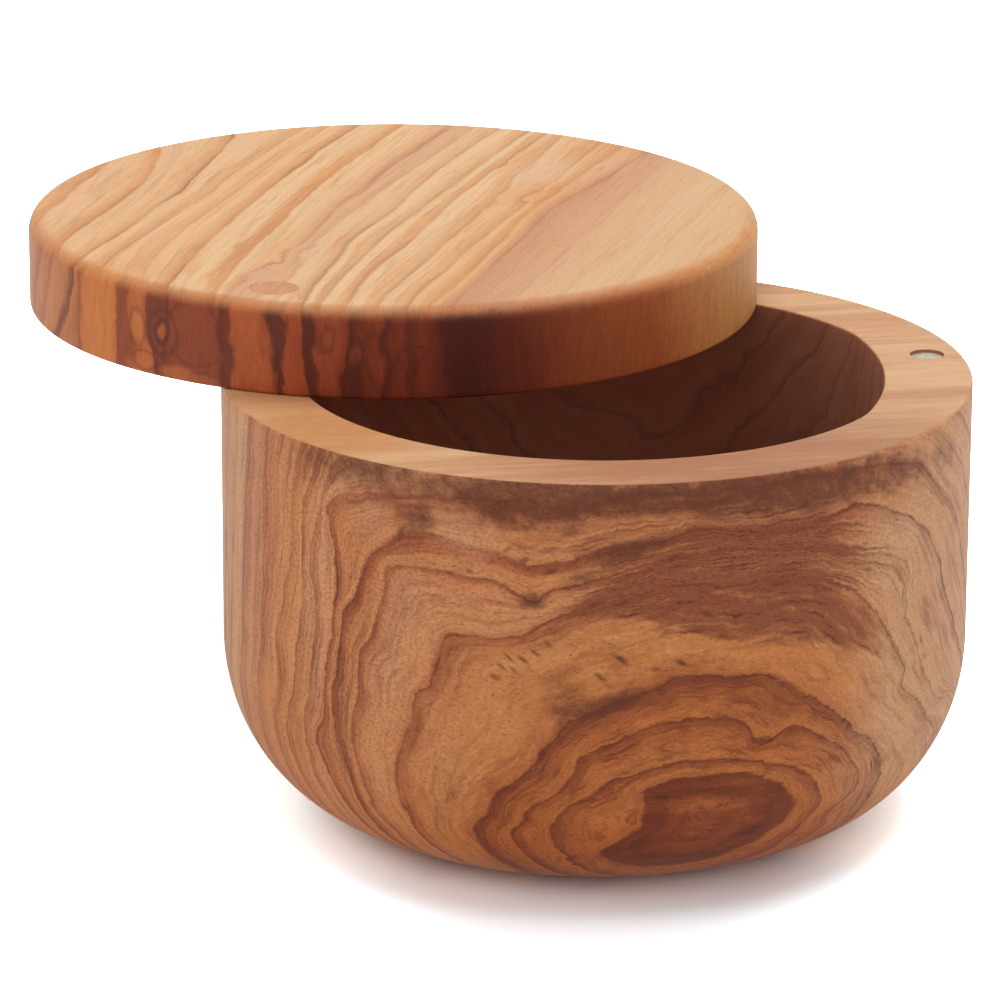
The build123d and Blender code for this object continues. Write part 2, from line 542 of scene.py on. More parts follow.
# growth rings read off the unrolled wall: places are in tenths of a millimetre, across the wall,
# 1010 at the heart of the rings and growing to the right, and down from the rim and round the foot
bowlFigure = {
    "heart": (1010, 545), "heartAngle": -79.0,
    "levelBeyond": 60.0,  # tenths of a millimetre to a level outside the last ring
    "leastApart": 12.0,  # tenths of a millimetre that two rings keep between them at least
    "footCurve": 0.003,  # how much longer the foot's curve is than its chord, for each mm of it
    # round the back the rings are plain ovals about a second heart: degrees round the bowl, mm down
    "backHeart": (112.0, 18.0), "backOval": (11.0, 8.5), "backLevel": 3.2, "backGap": 9.0,
    "backFrom": (-4.0, 34.0),  # mm along y, over which the back's rings take over
    # each ring: how dark its line is, then its places clockwise from lower left
    "rings": [
        (0.5, [
            (900, 650), (850, 612), (870, 585), (903, 562), (915, 535), (926, 500), (912, 475), (935, 460),
            (985, 454), (1050, 452), (1110, 470), (1150, 500), (1170, 535), (1160, 560), (1140, 585),
            (1110, 612), (1060, 640), (1010, 655),
        ]),
        (0.7, [
            (850, 690), (790, 620), (772, 565), (785, 520), (808, 492), (830, 483), (850, 472), (862, 455),
            (900, 445), (950, 433), (1000, 430), (1050, 433), (1095, 440), (1110, 450), (1150, 457),
            (1170, 468), (1190, 490), (1205, 515), (1220, 535), (1222, 555), (1205, 580), (1190, 612),
            (1180, 650), (1010, 720),
        ]),
        (0.75, [
            (800, 720), (740, 640), (712, 560), (738, 540), (741, 510), (760, 498), (790, 475), (802, 458),
            (815, 440), (822, 415), (850, 400), (880, 388), (910, 375), (940, 366), (1000, 363),
            (1050, 370), (1072, 382), (1080, 402), (1095, 412), (1115, 405), (1135, 393), (1160, 393),
            (1190, 408), (1210, 425), (1250, 450), (1270, 480), (1290, 500), (1300, 525), (1300, 545),
            (1265, 565), (1256, 590), (1270, 610), (1240, 650), (1010, 780),
        ]),
        (1.0, [
            (740, 760), (690, 670), (665, 620), (652, 585), (656, 562), (665, 545), (685, 530), (688, 505),
            (700, 480), (720, 465), (745, 440), (765, 412), (790, 390), (805, 370), (830, 350), (860, 338),
            (900, 322), (945, 312), (960, 300), (1000, 300), (1050, 305), (1090, 308), (1130, 325),
            (1150, 340), (1190, 362), (1220, 385), (1245, 405), (1260, 430), (1290, 445), (1310, 465),
            (1335, 490), (1345, 525), (1350, 560), (1357, 600), (1350, 650), (1010, 850),
        ]),
        (0.8, [
            (640, 780), (575, 680), (547, 622), (533, 590), (530, 560), (525, 530), (525, 500), (527, 470),
            (532, 440), (540, 420), (550, 390), (560, 350), (566, 335), (590, 325), (600, 300), (605, 270),
            (612, 245), (625, 235), (660, 233), (700, 238), (740, 222), (770, 205), (800, 190), (850, 170),
            (900, 158), (950, 153), (1000, 157), (1050, 163), (1100, 160), (1150, 162), (1200, 172),
            (1250, 200), (1290, 240), (1340, 292), (1370, 335), (1392, 357), (1370, 372), (1386, 390),
            (1410, 405), (1440, 430), (1460, 460), (1500, 490), (1560, 540), (1600, 640), (1010, 980),
        ]),
        (0.6, [
            (580, 800), (510, 680), (480, 600), (466, 560), (462, 500), (452, 450), (456, 400), (470, 350),
            (466, 300), (475, 280), (495, 265), (500, 240), (506, 210), (517, 180), (515, 160), (540, 148),
            (600, 148), (650, 152), (700, 155), (730, 170), (748, 182), (770, 168), (800, 152), (850, 140),
            (900, 125), (950, 115), (1000, 110), (1050, 105), (1100, 112), (1150, 118), (1200, 130),
            (1250, 147), (1300, 160), (1340, 172), (1375, 190), (1386, 215), (1390, 240), (1366, 257),
            (1372, 272), (1395, 300), (1410, 330), (1425, 355), (1440, 385), (1455, 405), (1470, 430),
            (1500, 443), (1560, 452), (1640, 520), (1010, 1080),
        ]),
        (0.95, [
            (520, 800), (470, 680), (450, 620), (442, 560), (438, 500), (430, 460), (418, 430), (415, 390),
            (420, 345), (430, 300), (433, 260), (440, 235), (455, 222), (466, 205), (472, 180), (480, 160),
            (500, 135), (530, 115), (548, 97), (600, 92), (650, 105), (700, 112), (745, 130), (800, 118),
            (850, 97), (900, 92), (950, 88), (972, 74), (1000, 70), (1050, 80), (1100, 86), (1150, 88),
            (1200, 85), (1250, 72), (1300, 78), (1350, 105), (1400, 135), (1440, 165), (1475, 205),
            (1495, 245), (1510, 270), (1540, 310), (1575, 360), (1640, 430), (1740, 560), (1010, 1180),
        ]),
        (0.8, [
            (470, 800), (430, 680), (410, 610), (400, 560), (392, 520), (378, 482), (376, 450), (396, 420),
            (401, 380), (406, 330), (415, 290), (418, 250), (424, 220), (428, 180), (424, 150), (410, 120),
            (402, 85), (430, 65), (480, 50), (550, 40), (650, 30), (800, 30), (1000, 20), (1200, 15),
            (1400, 40), (1450, 80), (1500, 120), (1540, 150), (1570, 190), (1600, 240), (1650, 320),
            (1720, 420), (1010, 1280),
        ]),
        (0.5, [
            (420, 820), (370, 680), (355, 600), (348, 540), (350, 480), (352, 420), (366, 400), (370, 370),
            (374, 335), (381, 300), (384, 260), (378, 220), (367, 195), (372, 150), (385, 120), (398, 80),
            (410, 40), (430, 0), (600, -50), (1000, -70), (1400, -20), (1500, 35), (1560, 75), (1620, 140),
            (1690, 240), (1780, 380), (1010, 1380),
        ]),
        (0.6, [
            (350, 840), (315, 680), (305, 600), (304, 540), (300, 490), (305, 450), (312, 420), (325, 400),
            (331, 370), (336, 320), (345, 290), (350, 255), (354, 220), (351, 150), (352, 100), (368, 60),
            (385, 20), (400, -20), (600, -100), (1000, -130), (1400, -80), (1560, 10), (1640, 70),
            (1730, 190), (1840, 360), (1010, 1480),
        ]),
        (0.4, [
            (280, 840), (262, 680), (258, 600), (262, 520), (272, 450), (290, 400), (286, 355), (278, 320),
            (300, 270), (309, 235), (322, 200), (330, 165), (326, 120), (336, 60), (350, 0), (420, -90),
            (1000, -190), (1500, -110), (1660, -10), (1780, 120), (1900, 320), (1010, 1580),
        ]),
        (0.6, [
            (180, 840), (200, 640), (210, 520), (222, 420), (235, 320), (246, 240), (252, 150), (252, 60),
            (262, 0), (320, -120), (1000, -260), (1560, -160), (1760, -20), (1880, 120), (2000, 320),
            (1010, 1700),
        ]),
        (0.5, [
            (100, 840), (130, 600), (148, 460), (162, 320), (174, 180), (186, 70), (198, 0), (260, -150),
            (1000, -330), (1600, -220), (1860, -20), (2000, 160), (2100, 330), (1010, 1800),
        ]),
    ],
}


def ringReach(ring, bearing, heart):
    # distance from the heart to one ring, along each bearing (0 up, growing clockwise): read at every
    # quarter of a degree and smoothed over three degrees
    points = np.array(ring, float)
    dx, dy = points[:, 0] - heart[0], heart[1] - points[:, 1]
    known = np.arctan2(dx, dy)
    order = np.argsort(known)
    even = np.linspace(-np.pi, np.pi, 1441)
    reach = np.interp(even, known[order], np.hypot(dx, dy)[order], period=2 * np.pi)
    window = np.hanning(13)
    reach = np.convolve(np.concatenate([reach[-7:-1], reach, reach[1:7]]), window / window.sum(), "valid")
    return np.interp(bearing, even, reach)


def ringField(distance, bearing, figure):
    # how many rings out from the heart a place is, counting between two rings by its share of
    # the way from one to the next, and the mm between those two rings
    level = np.zeros_like(distance)
    gap = np.full_like(distance, figure["levelBeyond"] / 10.0)
    inner = np.zeros_like(distance)
    for _, ring in figure["rings"]:
        outer = np.maximum(ringReach(ring, bearing, figure["heart"]), inner + figure["leastApart"])
        between = (distance >= inner) & (distance < outer)
        gap = np.where(between, (outer - inner) / 10.0, gap)
        level += np.clip((distance - inner) / (outer - inner), 0.0, 1.0)
        inner = outer
    return level + np.maximum(distance - inner, 0.0) / figure["levelBeyond"], gap


def turnFrom(places, start):
    # degrees round the bowl from the start angle, within half a turn either way
    turn = np.degrees(np.arctan2(places[:, 1], places[:, 0])) - start
    return (turn + 180.0) % 360.0 - 180.0


def unroll(places, figure, shape):
    # a place on the bowl's outside as (across, down) on the unrolled wall
    radius, height = np.hypot(places[:, 0], places[:, 1]), places[:, 2]
    below = np.maximum(shape["footHigh"] - height, 0.0)
    chord = np.hypot(below, shape["radius"] - radius) * (below > 0)
    curve = chord * (1 + figure["footCurve"] * chord)
    down = shape["height"] - np.maximum(height, shape["footHigh"]) + curve
    return figure["heart"][0] + 10.0 * turnFrom(places, figure["heartAngle"]), 10.0 * down


def figureBowl(piece, figure, shape):
    places = vertexPlaces(piece)
    across, down = unroll(places, figure, shape)
    dx, dy = across - figure["heart"][0], figure["heart"][1] - down
    frontTurn = np.arctan2(dx, dy)
    front, gap = ringField(np.hypot(dx, dy), frontTurn, figure)
    (backAngle, backDown), (wide, high) = figure["backHeart"], figure["backOval"]
    aside, below = turnFrom(places, backAngle) / wide, (down / 10.0 - backDown) / high
    back = figure["backLevel"] + np.hypot(aside, below)
    share = smoothStep(places[:, 1], *figure["backFrom"])
    store(piece, "ringTurn", frontTurn * (1 - share) - np.arctan2(aside, -below) * share)
    store(piece, "ringLevel", front * (1 - share) + back * share)
    store(piece, "ringGap", gap * (1 - share) + figure["backGap"] * share)
    store(piece, "backShare", share)
    store(piece, "wallAcross", across)
    store(piece, "wallDown", down)


figureBowl(bowlPiece, bowlFigure, bowlShape)
print("bowl figured")

lidShape = {
    # radii, heights and depths in mm
    "radius": 57.5, "low": 67.8, "high": 81.8, "topRound": 2.35, "underRound": 0.5,
    "bore": 1.83, "counterbore": 3.7, "boreSeat": 75.2, "pocket": 2.65, "pocketDeep": 2.4,
    "clearance": 0.02,  # lifts the underside off the rim, so that the two don't share a plane
    "edgeStep": 0.2, "segments": 600,
}


def makeLid(shape):
    radius, high, step = shape["radius"], shape["high"], shape["edgeStep"]
    low = shape["low"] + shape["clearance"]
    under, top = shape["underRound"], shape["topRound"]
    profile = joinProfile([
        *runs([(0, low), (radius - under - step, low), (radius - under, low)], (14, 1)),
        arc((radius - under, low + under), (under, under), -90, 0, 6),
        run((radius, low + under), (radius, high - top), 12),
        arc((radius - top, high - top), (top, top), 0, 90, 14),
        *runs([(radius - top, high), (radius - top - step, high), (0, high)], (1, 56)),
    ])
    lid = turned("lidTurned", profile, shape["segments"], swung(0, 0))
    cutAway(lid, [
        drill(pivot, shape["bore"], low - 2, shape["boreSeat"] + 1),
        drill(pivot, shape["counterbore"], shape["boreSeat"], high + 2, 96),
        drill(swung(*magnetSpot), shape["pocket"], low - 2, shape["low"] + shape["pocketDeep"], 96),
    ])
    settle(lid, "lid_body", ["lid"])
    return lid


lidPiece = makeLid(lidShape)
print("lid turned")

# soft ovals on the unrolled wall: across, down, half width, half height, tilt and strength
bowlPatches = {
    "smoke": [
        (420, 10, 110, 45, 0, 0.6), (545, 20, 90, 45, 0, 0.6), (690, 28, 90, 48, 15, 0.8),
        (800, 30, 120, 46, 0, 0.85), (930, 12, 140, 32, 0, 0.8), (1060, 28, 140, 38, 5, 0.85),
        (1200, 30, 150, 46, 8, 0.75), (1330, 35, 110, 42, 15, 0.45), (1450, 45, 90, 32, 15, 0.34),
        (1540, 60, 80, 30, 20, 0.2), (572, 76, 38, 26, 0, 0.8), (748, 180, 26, 16, 0, 1.0),
        (735, 118, 60, 18, -10, 0.3), (900, 96, 90, 16, -8, 0.75), (845, 132, 70, 16, -22, 0.7),
        (860, 334, 85, 18, -18, 0.95), (790, 325, 40, 26, -30, 0.55), (738, 268, 16, 6, 20, 0.5),
        (965, 272, 15, 5, 20, 0.7), (930, 281, 14, 6, 0, 0.5),
    ],
    "redStreak": [
        (1000, 120, 170, 46, 5, 0.75), (1000, 182, 190, 42, 8, 0.85), (1080, 222, 180, 28, 12, 0.85),
        (1190, 243, 120, 34, 18, 0.6), (1150, 170, 150, 42, 15, 0.6), (1270, 292, 80, 22, 22, 0.5),
        (880, 172, 90, 26, -20, 0.5), (790, 205, 70, 16, -25, 0.45), (1090, 75, 170, 50, 8, 0.7),
        (1230, 130, 110, 40, 24, 0.5), (640, 275, 26, 50, 15, 0.4), (585, 380, 18, 70, 15, 0.45),
        (436, 400, 20, 170, 0, 0.6), (472, 320, 14, 80, 0, 0.4), (395, 470, 16, 120, 5, 0.4),
        (880, 265, 24, 6, 42, 0.5), (848, 288, 18, 8, 45, 0.5), (780, 560, 40, 30, 60, 0.4),
        (370, 30, 90, 40, 0, 0.5), (300, 240, 14, 160, 5, 0.3), (820, 90, 60, 20, -20, 0.4),
    ],
    "pale": [
        (1430, 250, 150, 210, 0, 0.95), (1390, 480, 150, 150, 0, 0.85), (1580, 300, 170, 320, 0, 0.95),
        (1310, 150, 80, 60, 20, 0.5), (1760, 300, 260, 420, 0, 0.7), (60, 200, 120, 260, 0, 0.7),
    ],
    "ashy": [
        (640, 82, 62, 34, 25, 0.9), (535, 240, 22, 90, 12, 0.7), (520, 330, 30, 50, 0, 0.5),
        (480, 75, 46, 26, 0, 0.5), (575, 200, 36, 50, 12, 0.4), (362, 250, 18, 90, 5, 0.6),
        (384, 350, 12, 60, 4, 0.7), (330, 330, 12, 70, 5, 0.4), (620, 470, 50, 90, 0, 0.3),
        (500, 90, 30, 30, 0, 0.4), (1480, 120, 60, 60, 0, 0.5),
    ],
    "coreLight": [
        (1010, 506, 84, 17, 2, 0.9), (1085, 545, 36, 5, 20, 0.6), (985, 560, 50, 6, 8, 0.4),
        (1003, 615, 12, 8, 0, 0.7), (1070, 470, 50, 8, 8, 0.4),
    ],
    "coreDark": [
        (1100, 578, 34, 12, -20, 0.9), (900, 590, 60, 14, -25, 0.8), (990, 628, 130, 14, 4, 0.6),
        (940, 520, 20, 40, 0, 0.5), (960, 480, 46, 6, -4, 0.8), (1060, 492, 50, 5, 14, 0.6),
        (1128, 535, 8, 30, 0, 0.5),
    ],
    "coarse": [(380, 300, 260, 420, 0, 1.0), (850, 90, 700, 110, 0, 1.0), (1300, 600, 200, 60, -20, 0.3)],
    "faint": [
        (480, 60, 110, 36, -15, 1.0), (640, 104, 110, 36, 0, 1.0), (560, 45, 90, 26, 0, 1.0),
        (800, 30, 200, 40, 0, 1.0), (1150, 20, 260, 34, 0, 1.0), (470, -20, 80, 60, 0, 0.6),
    ],
    "swirl": [
        (1010, 545, 120, 70, 0, 0.5), (790, 600, 60, 50, 0, 1.0), (850, 640, 40, 30, 0, 0.6),
        (1100, 395, 16, 12, 0, 0.3),
    ],
    "honey": [
        (890, 240, 52, 26, 10, 0.9), (1130, 285, 140, 26, 14, 0.6), (1180, 330, 100, 40, 20, 0.5),
        (540, 150, 60, 30, 0, 0.3), (440, 90, 40, 60, 0, 0.3), (230, 450, 110, 70, 0, 0.5),
        (380, 440, 90, 90, 0, 0.6), (150, 320, 90, 90, 0, 0.3), (870, 530, 30, 30, 0, 0.5),
        (1230, 420, 60, 60, 45, 0.3),
    ],
}

# short dark strokes on the wall: across, down, half length, half width, tilt and strength
bowlDashes = [
    (715, 268, 20, 6, 38, 0.8), (736, 268, 20, 6, 35, 0.9), (705, 284, 18, 6, 40, 0.7),
    (695, 300, 18, 10, 20, 0.7), (722, 286, 18, 6, 38, 0.6), (755, 257, 21, 6, 35, 0.8),
    (774, 243, 21, 6, 35, 0.6), (745, 280, 15, 6, 38, 0.4), (880, 265, 30, 8, 38, 0.8),
    (848, 290, 24, 8, 32, 0.8), (968, 272, 20, 8, 22, 1.0), (930, 279, 20, 8, 10, 0.7),
    (1277, 137, 14, 5, 10, 0.7), (1284, 175, 15, 8, 15, 0.5), (1424, 327, 18, 8, 50, 0.7),
    (1436, 354, 18, 6, 40, 0.5), (738, 119, 22, 13, -20, 0.8), (712, 101, 21, 8, -25, 0.5),
    (690, 121, 18, 8, -30, 0.4), (775, 135, 30, 11, -8, 0.8), (600, 96, 33, 6, 5, 0.5),
    (545, 100, 30, 11, -60, 0.7), (658, 140, 18, 6, 30, 0.4), (625, 147, 21, 6, 20, 0.4),
    (806, 75, 33, 11, -15, 0.6), (770, 100, 33, 10, -15, 0.5), (1100, 405, 39, 11, 8, 0.8),
]

bowlWood = {
    # level of the rings, counted from the heart, and the tone there
    "ringTones": [
        (0.0, (164, 95, 58)), (0.22, (152, 85, 52)), (0.34, (124, 64, 40)), (0.42, (146, 80, 49)),
        (0.6, (132, 69, 42)), (0.72, (116, 58, 37)), (0.8, (136, 72, 44)), (0.96, (112, 55, 35)),
        (1.08, (192, 120, 67)), (1.4, (194, 122, 69)), (1.75, (180, 107, 62)), (1.96, (155, 88, 53)),
        (2.07, (200, 127, 72)), (2.4, (192, 119, 68)), (2.75, (180, 107, 61)), (2.96, (155, 87, 52)),
        (3.07, (198, 125, 70)), (3.3, (186, 114, 65)), (3.65, (170, 100, 58)), (3.97, (138, 74, 48)),
        (4.06, (198, 127, 77)), (4.3, (206, 138, 84)), (4.6, (210, 144, 92)), (4.85, (206, 138, 90)),
        (4.97, (184, 112, 72)), (5.08, (217, 152, 106)), (5.5, (216, 154, 110)), (5.8, (208, 140, 97)),
        (5.97, (184, 114, 78)), (6.08, (214, 149, 102)), (6.5, (208, 140, 95)), (6.75, (188, 114, 76)),
        (6.97, (162, 92, 64)), (7.08, (216, 150, 102)), (7.5, (212, 144, 98)), (7.8, (200, 126, 86)),
        (7.96, (176, 104, 72)), (8.08, (218, 154, 110)), (8.5, (220, 162, 122)), (8.9, (210, 140, 98)),
        (9.08, (221, 160, 113)), (9.5, (215, 151, 102)), (9.9, (201, 129, 86)), (10.08, (219, 156, 106)),
        (10.5, (213, 147, 96)), (10.9, (205, 133, 87)), (11.08, (219, 157, 107)), (11.5, (211, 147, 102)),
        (11.9, (199, 130, 92)), (12.1, (211, 154, 113)), (12.6, (207, 147, 109)), (12.95, (190, 125, 93)),
        (13.2, (219, 171, 130)), (14.0, (213, 163, 121)),
    ],
    "lastLevel": 14.0,
    "line": (98, 42, 27), "lineStrength": 0.8, "thin": (122, 58, 35), "streak": (160, 86, 53),
    "light": (228, 168, 116), "coreLight": (186, 110, 66), "coreDark": (84, 38, 25),
    "smoke": (100, 54, 41), "redStreak": (138, 77, 55), "redDark": (88, 42, 34),
    "pale": (214, 172, 137), "ashy": (213, 161, 128), "honey": (208, 138, 80), "pore": (96, 46, 28),
    # factors of red, green and blue
    # the foot's factors darken and warm the wall where it turns under: painted shade
    "warmth": (1.06, 0.95, 0.84), "footShade": (0.99, 0.89, 0.73),
    "grainDark": (0.56, 0.49, 0.44), "grainLight": (1.36, 1.34, 1.30),
    "streakDark": (0.76, 0.70, 0.66), "streakLight": (1.16, 1.15, 1.13),
    # veins: how often per radian and per ring, half width as a share of the noise, and strength
    "veins": [(1.1, 2.3, 0.04, 0.6), (1.7, 4.6, 0.05, 0.36), (2.6, 9.0, 0.07, 0.2)],
    "gloss": 0.2, "roughness": (0.48, 0.62), "bumpDepth": 0.00006,  # metres
}


def makeBowlOutside(tones, figure, dashes):
    wood = newFinish("bowlOutsideWood")
    back, gap = wood.stored("backShare"), wood.stored("ringGap")
    # level = stored level + a soft wander, wider round the back, + a jag in mm over the rings' gap
    drift = wood.noise((14, 14, 14), 2.0) - 0.5
    jag = wood.noise((3.4, 3.4, 3.4), 4.0, 0.7) - 0.5
    jagged = jag * (2.0 + 7.0 * wood.stored("swirl")) / gap
    level = wood.stored("ringLevel") + drift * (0.25 + 1.6 * back) + jagged
    tone = wood.longRamp(level, tones["ringTones"], tones["lastLevel"])
    # broad patches of tone lie under the lines, broken up by a mottle
    mottle = wood.noise((5, 5, 3.2), 4.0, 0.6)
    tone = wood.tinted(tone, wood.stored("honey") * 0.5, tones["honey"])
    tone = wood.tinted(tone, wood.stored("pale") * wood.smooth(mottle, 0.2, 0.6, 0.6, 0.95), tones["pale"])
    tone = wood.tinted(tone, wood.stored("ashy") * 0.65, tones["ashy"])
    for name in ("coreLight", "coreDark"):
        tone = wood.tinted(tone, wood.stored(name) * wood.smooth(mottle, 0.3, 0.6, 0.5, 0.95), tones[name])
    # streaks that run along the rings, noises over the turn about the heart and the level
    turn = wood.stored("ringTurn")
    side = back * 7.0
    streak = wood.noiseAt(wood.vector(turn * 3.2, level * 5.5, side), 4.0, 0.62)
    hair = wood.noiseAt(wood.vector(turn * 5.12, level * 17.6, side), 3.0, 0.6)
    tone = wood.tinted(tone, wood.smooth(streak, 0.5, 0.75, 0.0, 0.45), tones["streak"])
    outside = wood.smooth(level, 3.6, 4.4)
    tone = wood.tinted(tone, wood.smooth(streak, 0.5, 0.3, 0.0, 0.3) * outside, tones["light"])
    # the heart's own grain lies flat, and the inner rings are finely streaked
    heart = 1.0 - wood.smooth(level, 0.9, 1.1)
    inner = 1.0 - wood.smooth(level, 3.7, 4.3)
    streaked = (tones["streakDark"], tones["streakLight"], 0.2)
    tone = wood.blend(heart, tone, wood.grained(tone, wood.noise((6, 6, 0.5), 4.0, 0.65), *streaked))
    tone = wood.blend(0.22 + 0.5 * inner - 0.55 * heart, tone, wood.grained(tone, hair, *streaked))
    # distance in mm from the nearest drawn ring, outward above 0: (fraction of level + 1/2, - 1/2) x gap
    distance = ((level + 0.5).maths("FRACT") - 0.5) * gap
    # fine veins along the rings, where a noise crosses its middle value
    inward = wood.smooth(distance, -3.6, -0.5) * (1.0 - wood.smooth(distance, 0.0, 0.25))
    broken = wood.smooth(wood.noise((7, 7, 7), 2.0), 0.36, 0.6, 0.35, 1.0)
    for turns, levels, wide, share in tones["veins"]:
        crossing = wood.noiseAt(wood.vector(turn * turns, level * levels, side + levels), 3.0, 0.6)
        vein = 1.0 - wood.smooth(abs(crossing - 0.5), 0.0, wide)
        strength = (share + 0.3 * inward) * broken * (0.5 + 0.5 * inner)
        tone = wood.tinted(tone, vein * strength, tones["thin"])
    # the drawn rings: a sharp line some tenths of a mm wide, and a long fade inward
    wide = wood.smooth(wood.noise((4, 4, 4), 3.0, 0.6), 0.35, 0.65, 0.26, 0.66)
    sharp = 1.0 - wood.smooth(abs(distance + 0.12) / wide, 0.0, 1.0)
    fade = (1.0 - wood.smooth(distance, 0.0, 0.3)) * wood.smooth(distance + (hair - 0.5) * 2.6, -1.9, -0.1)
    darkness = wood.lineShare(level, [dark for dark, _ in figure["rings"]])
    worn = wood.smooth(wood.noise((8, 8, 8), 3.0, 0.6), 0.32, 0.6, 0.4, 1.0)
    lines = (fade * 0.3).maths("MAXIMUM", sharp) * darkness * worn * (1.0 - wood.stored("faint"))
    tone = wood.tinted(tone, lines * tones["lineStrength"], tones["line"])
    # the red-brown streaked band: its patches plus both streak noises, with dark and honey hairs
    grain = wood.noise((0.75, 0.42, 0.42), 3.0, 0.7)
    band = wood.stored("redStreak")
    red = band * 1.5 + (streak - 0.5) * 2.4 + (hair - 0.5) * 1.8
    tone = wood.tinted(tone, wood.smooth(red, 0.25, 1.5, 0.0, 0.88), tones["redStreak"])
    tone = wood.tinted(tone, wood.smooth(hair, 0.52, 0.7) * band * 0.8, tones["redDark"])
    tone = wood.tinted(tone, wood.smooth(hair, 0.44, 0.3) * band * 0.3, tones["honey"])
    # short strokes, each a soft oval, on a wall whose places are jogged a little
    wall = wood.vector(wood.stored("wallAcross") + jag * 14.0, wood.stored("wallDown") + drift * 20.0)
    dashed = 0.0
    for across, down, long, high, tilt, strength in dashes:
        oval = wood.near(wall, (across, down, 0), (long, high, 1), (0, 0, tilt))
        dashed = wood.maths("MAXIMUM", dashed, wood.smooth(oval, 0.0, 0.7, 0.0, strength))
    tone = wood.tinted(tone, dashed * 0.8, tones["redDark"])
    # the smoky strip under the rim: its patches plus a cloud, grain and streak noise
    cloud = wood.noise((3.0, 3.0, 2.2), 5.0, 0.75, (0, 25, 0))
    smoke = wood.stored("smoke") * 1.15 + (cloud - 0.5) * 1.9 + (grain - 0.5) * 1.5 + (streak - 0.5) * 0.4
    tone = wood.tinted(tone, wood.smooth(smoke, 0.15, 1.35) * 0.9, tones["smoke"])
    # grain and pores over all of it
    speckled = wood.grained(tone, grain, tones["grainDark"], tones["grainLight"], 0.28)
    tone = wood.blend(0.6 + 0.4 * wood.stored("coarse"), tone, speckled)
    pore = wood.smooth(wood.noise((0.9, 0.3, 0.26), 1.0), 0.66, 0.76)
    tone = wood.tinted(tone, pore * 0.42, tones["pore"])
    tone = wood.times(tone, tones["warmth"])
    # towards the foot the tone is darkened and warmed: painted shade on the wall's underside, which faces
    # the floor
    foot = wood.smooth(wood.stored("wallDown"), 430.0, 640.0)
    tone = wood.blend(foot, tone, wood.times(tone, tones["footShade"]))
    rough = wood.smooth(grain, 0.2, 0.8, *tones["roughness"])
    return wood.surface(tone, rough, grain * 0.7 - pore - lines * 0.5, tones["bumpDepth"], tones["gloss"])


rimWood = {
    "base": (198, 144, 102), "line": (160, 98, 62), "pale": (216, 172, 128),
    "honey": (200, 136, 82), "honeyPlace": (-43, -28, 67.8), "honeySize": (30, 34, 20),
    "brown": (158, 98, 66), "brownPlace": (20, -46, 67.8), "brownSize": (92, 62, 30),
    "fibreDark": (0.86, 0.82, 0.8), "fibreLight": (1.07, 1.07, 1.07),
}


def makeRimTop(tones):
    # base and pale by a broad noise, a honey and a brown oval, then long lines and short fibres
    wood = newFinish("bowlRimWood")
    grainTurn = (0, 0, 4)
    broad = wood.noise((40, 5, 5), 3.0, tilt=grainTurn)
    tone = wood.blend(wood.smooth(broad, 0.3, 0.7), solid(*tones["pale"]), solid(*tones["base"]))
    honey = wood.near(wood.places(), tones["honeyPlace"], tones["honeySize"])
    tone = wood.tinted(tone, wood.smooth(honey, 0.0, 0.7, 0.0, 0.8), tones["honey"])
    brown = wood.near(wood.places(), tones["brownPlace"], tones["brownSize"]) + (broad - 0.5) * 0.5
    tone = wood.tinted(tone, wood.smooth(brown, 0.05, 0.7, 0.0, 0.74), tones["brown"])
    lines = wood.noise((14, 0.8, 0.8), 4.0, 0.65, (0, 0, 6))
    tone = wood.tinted(tone, wood.smooth(lines, 0.48, 0.72, 0.0, 0.27), tones["line"])
    tone = wood.tinted(tone, wood.smooth(lines, 0.48, 0.28, 0.0, 0.3), tones["pale"])
    fibre = wood.noise((2.4, 0.3, 0.3), 3.0, 0.6, grainTurn)
    tone = wood.grained(tone, fibre, tones["fibreDark"], tones["fibreLight"])
    return wood.surface(tone, 0.55, fibre, 0.00004, 0.2)


insideWood = {
    "base": (164, 108, 84), "line": (112, 62, 46), "pale": (178, 124, 100),
    "across": (0.25, 1.0, 0.42), "spacing": 5.5,  # mm between the layers, and the way across them
    "fibreDark": (0.84, 0.8, 0.78), "fibreLight": (1.06, 1.06, 1.06),
}


def makeInside(tones):
    # layers counted along one direction, wandering by noise; each starts with a dark line
    wood = newFinish("bowlInsideWood")
    x, y, z = (wood.add("SeparateXYZ", None, {0: wood.places()}, output=axis) for axis in range(3))
    byX, byY, byZ = tones["across"]
    drift = wood.noise((22, 22, 22), 3.0) - 0.5
    level = (x * byX + y * byY + z * byZ) / tones["spacing"] + drift * 2.2
    wide = wood.stretched(wood.places(), (30, 30, 30))
    bands = wood.noiseAt(wide, 3.0, 0.6, along=level * 1.3)
    tone = wood.blend(wood.smooth(bands, 0.35, 0.65), solid(*tones["pale"]), solid(*tones["base"]))
    share = (level + (wood.noise((3, 3, 3), 2.0) - 0.5) * 0.25).maths("FRACT")
    line = (1.0 - wood.smooth(share, 0.0, 0.22)) * wood.smooth(share, 0.0, 0.05)
    tone = wood.tinted(tone, line * 0.4, tones["line"])
    fibre = wood.noise((1.8, 0.4, 0.3), 3.0, 0.6)
    tone = wood.grained(tone, fibre, tones["fibreDark"], tones["fibreLight"])
    return wood.surface(tone, 0.6, fibre, 0.00005, 0.3)


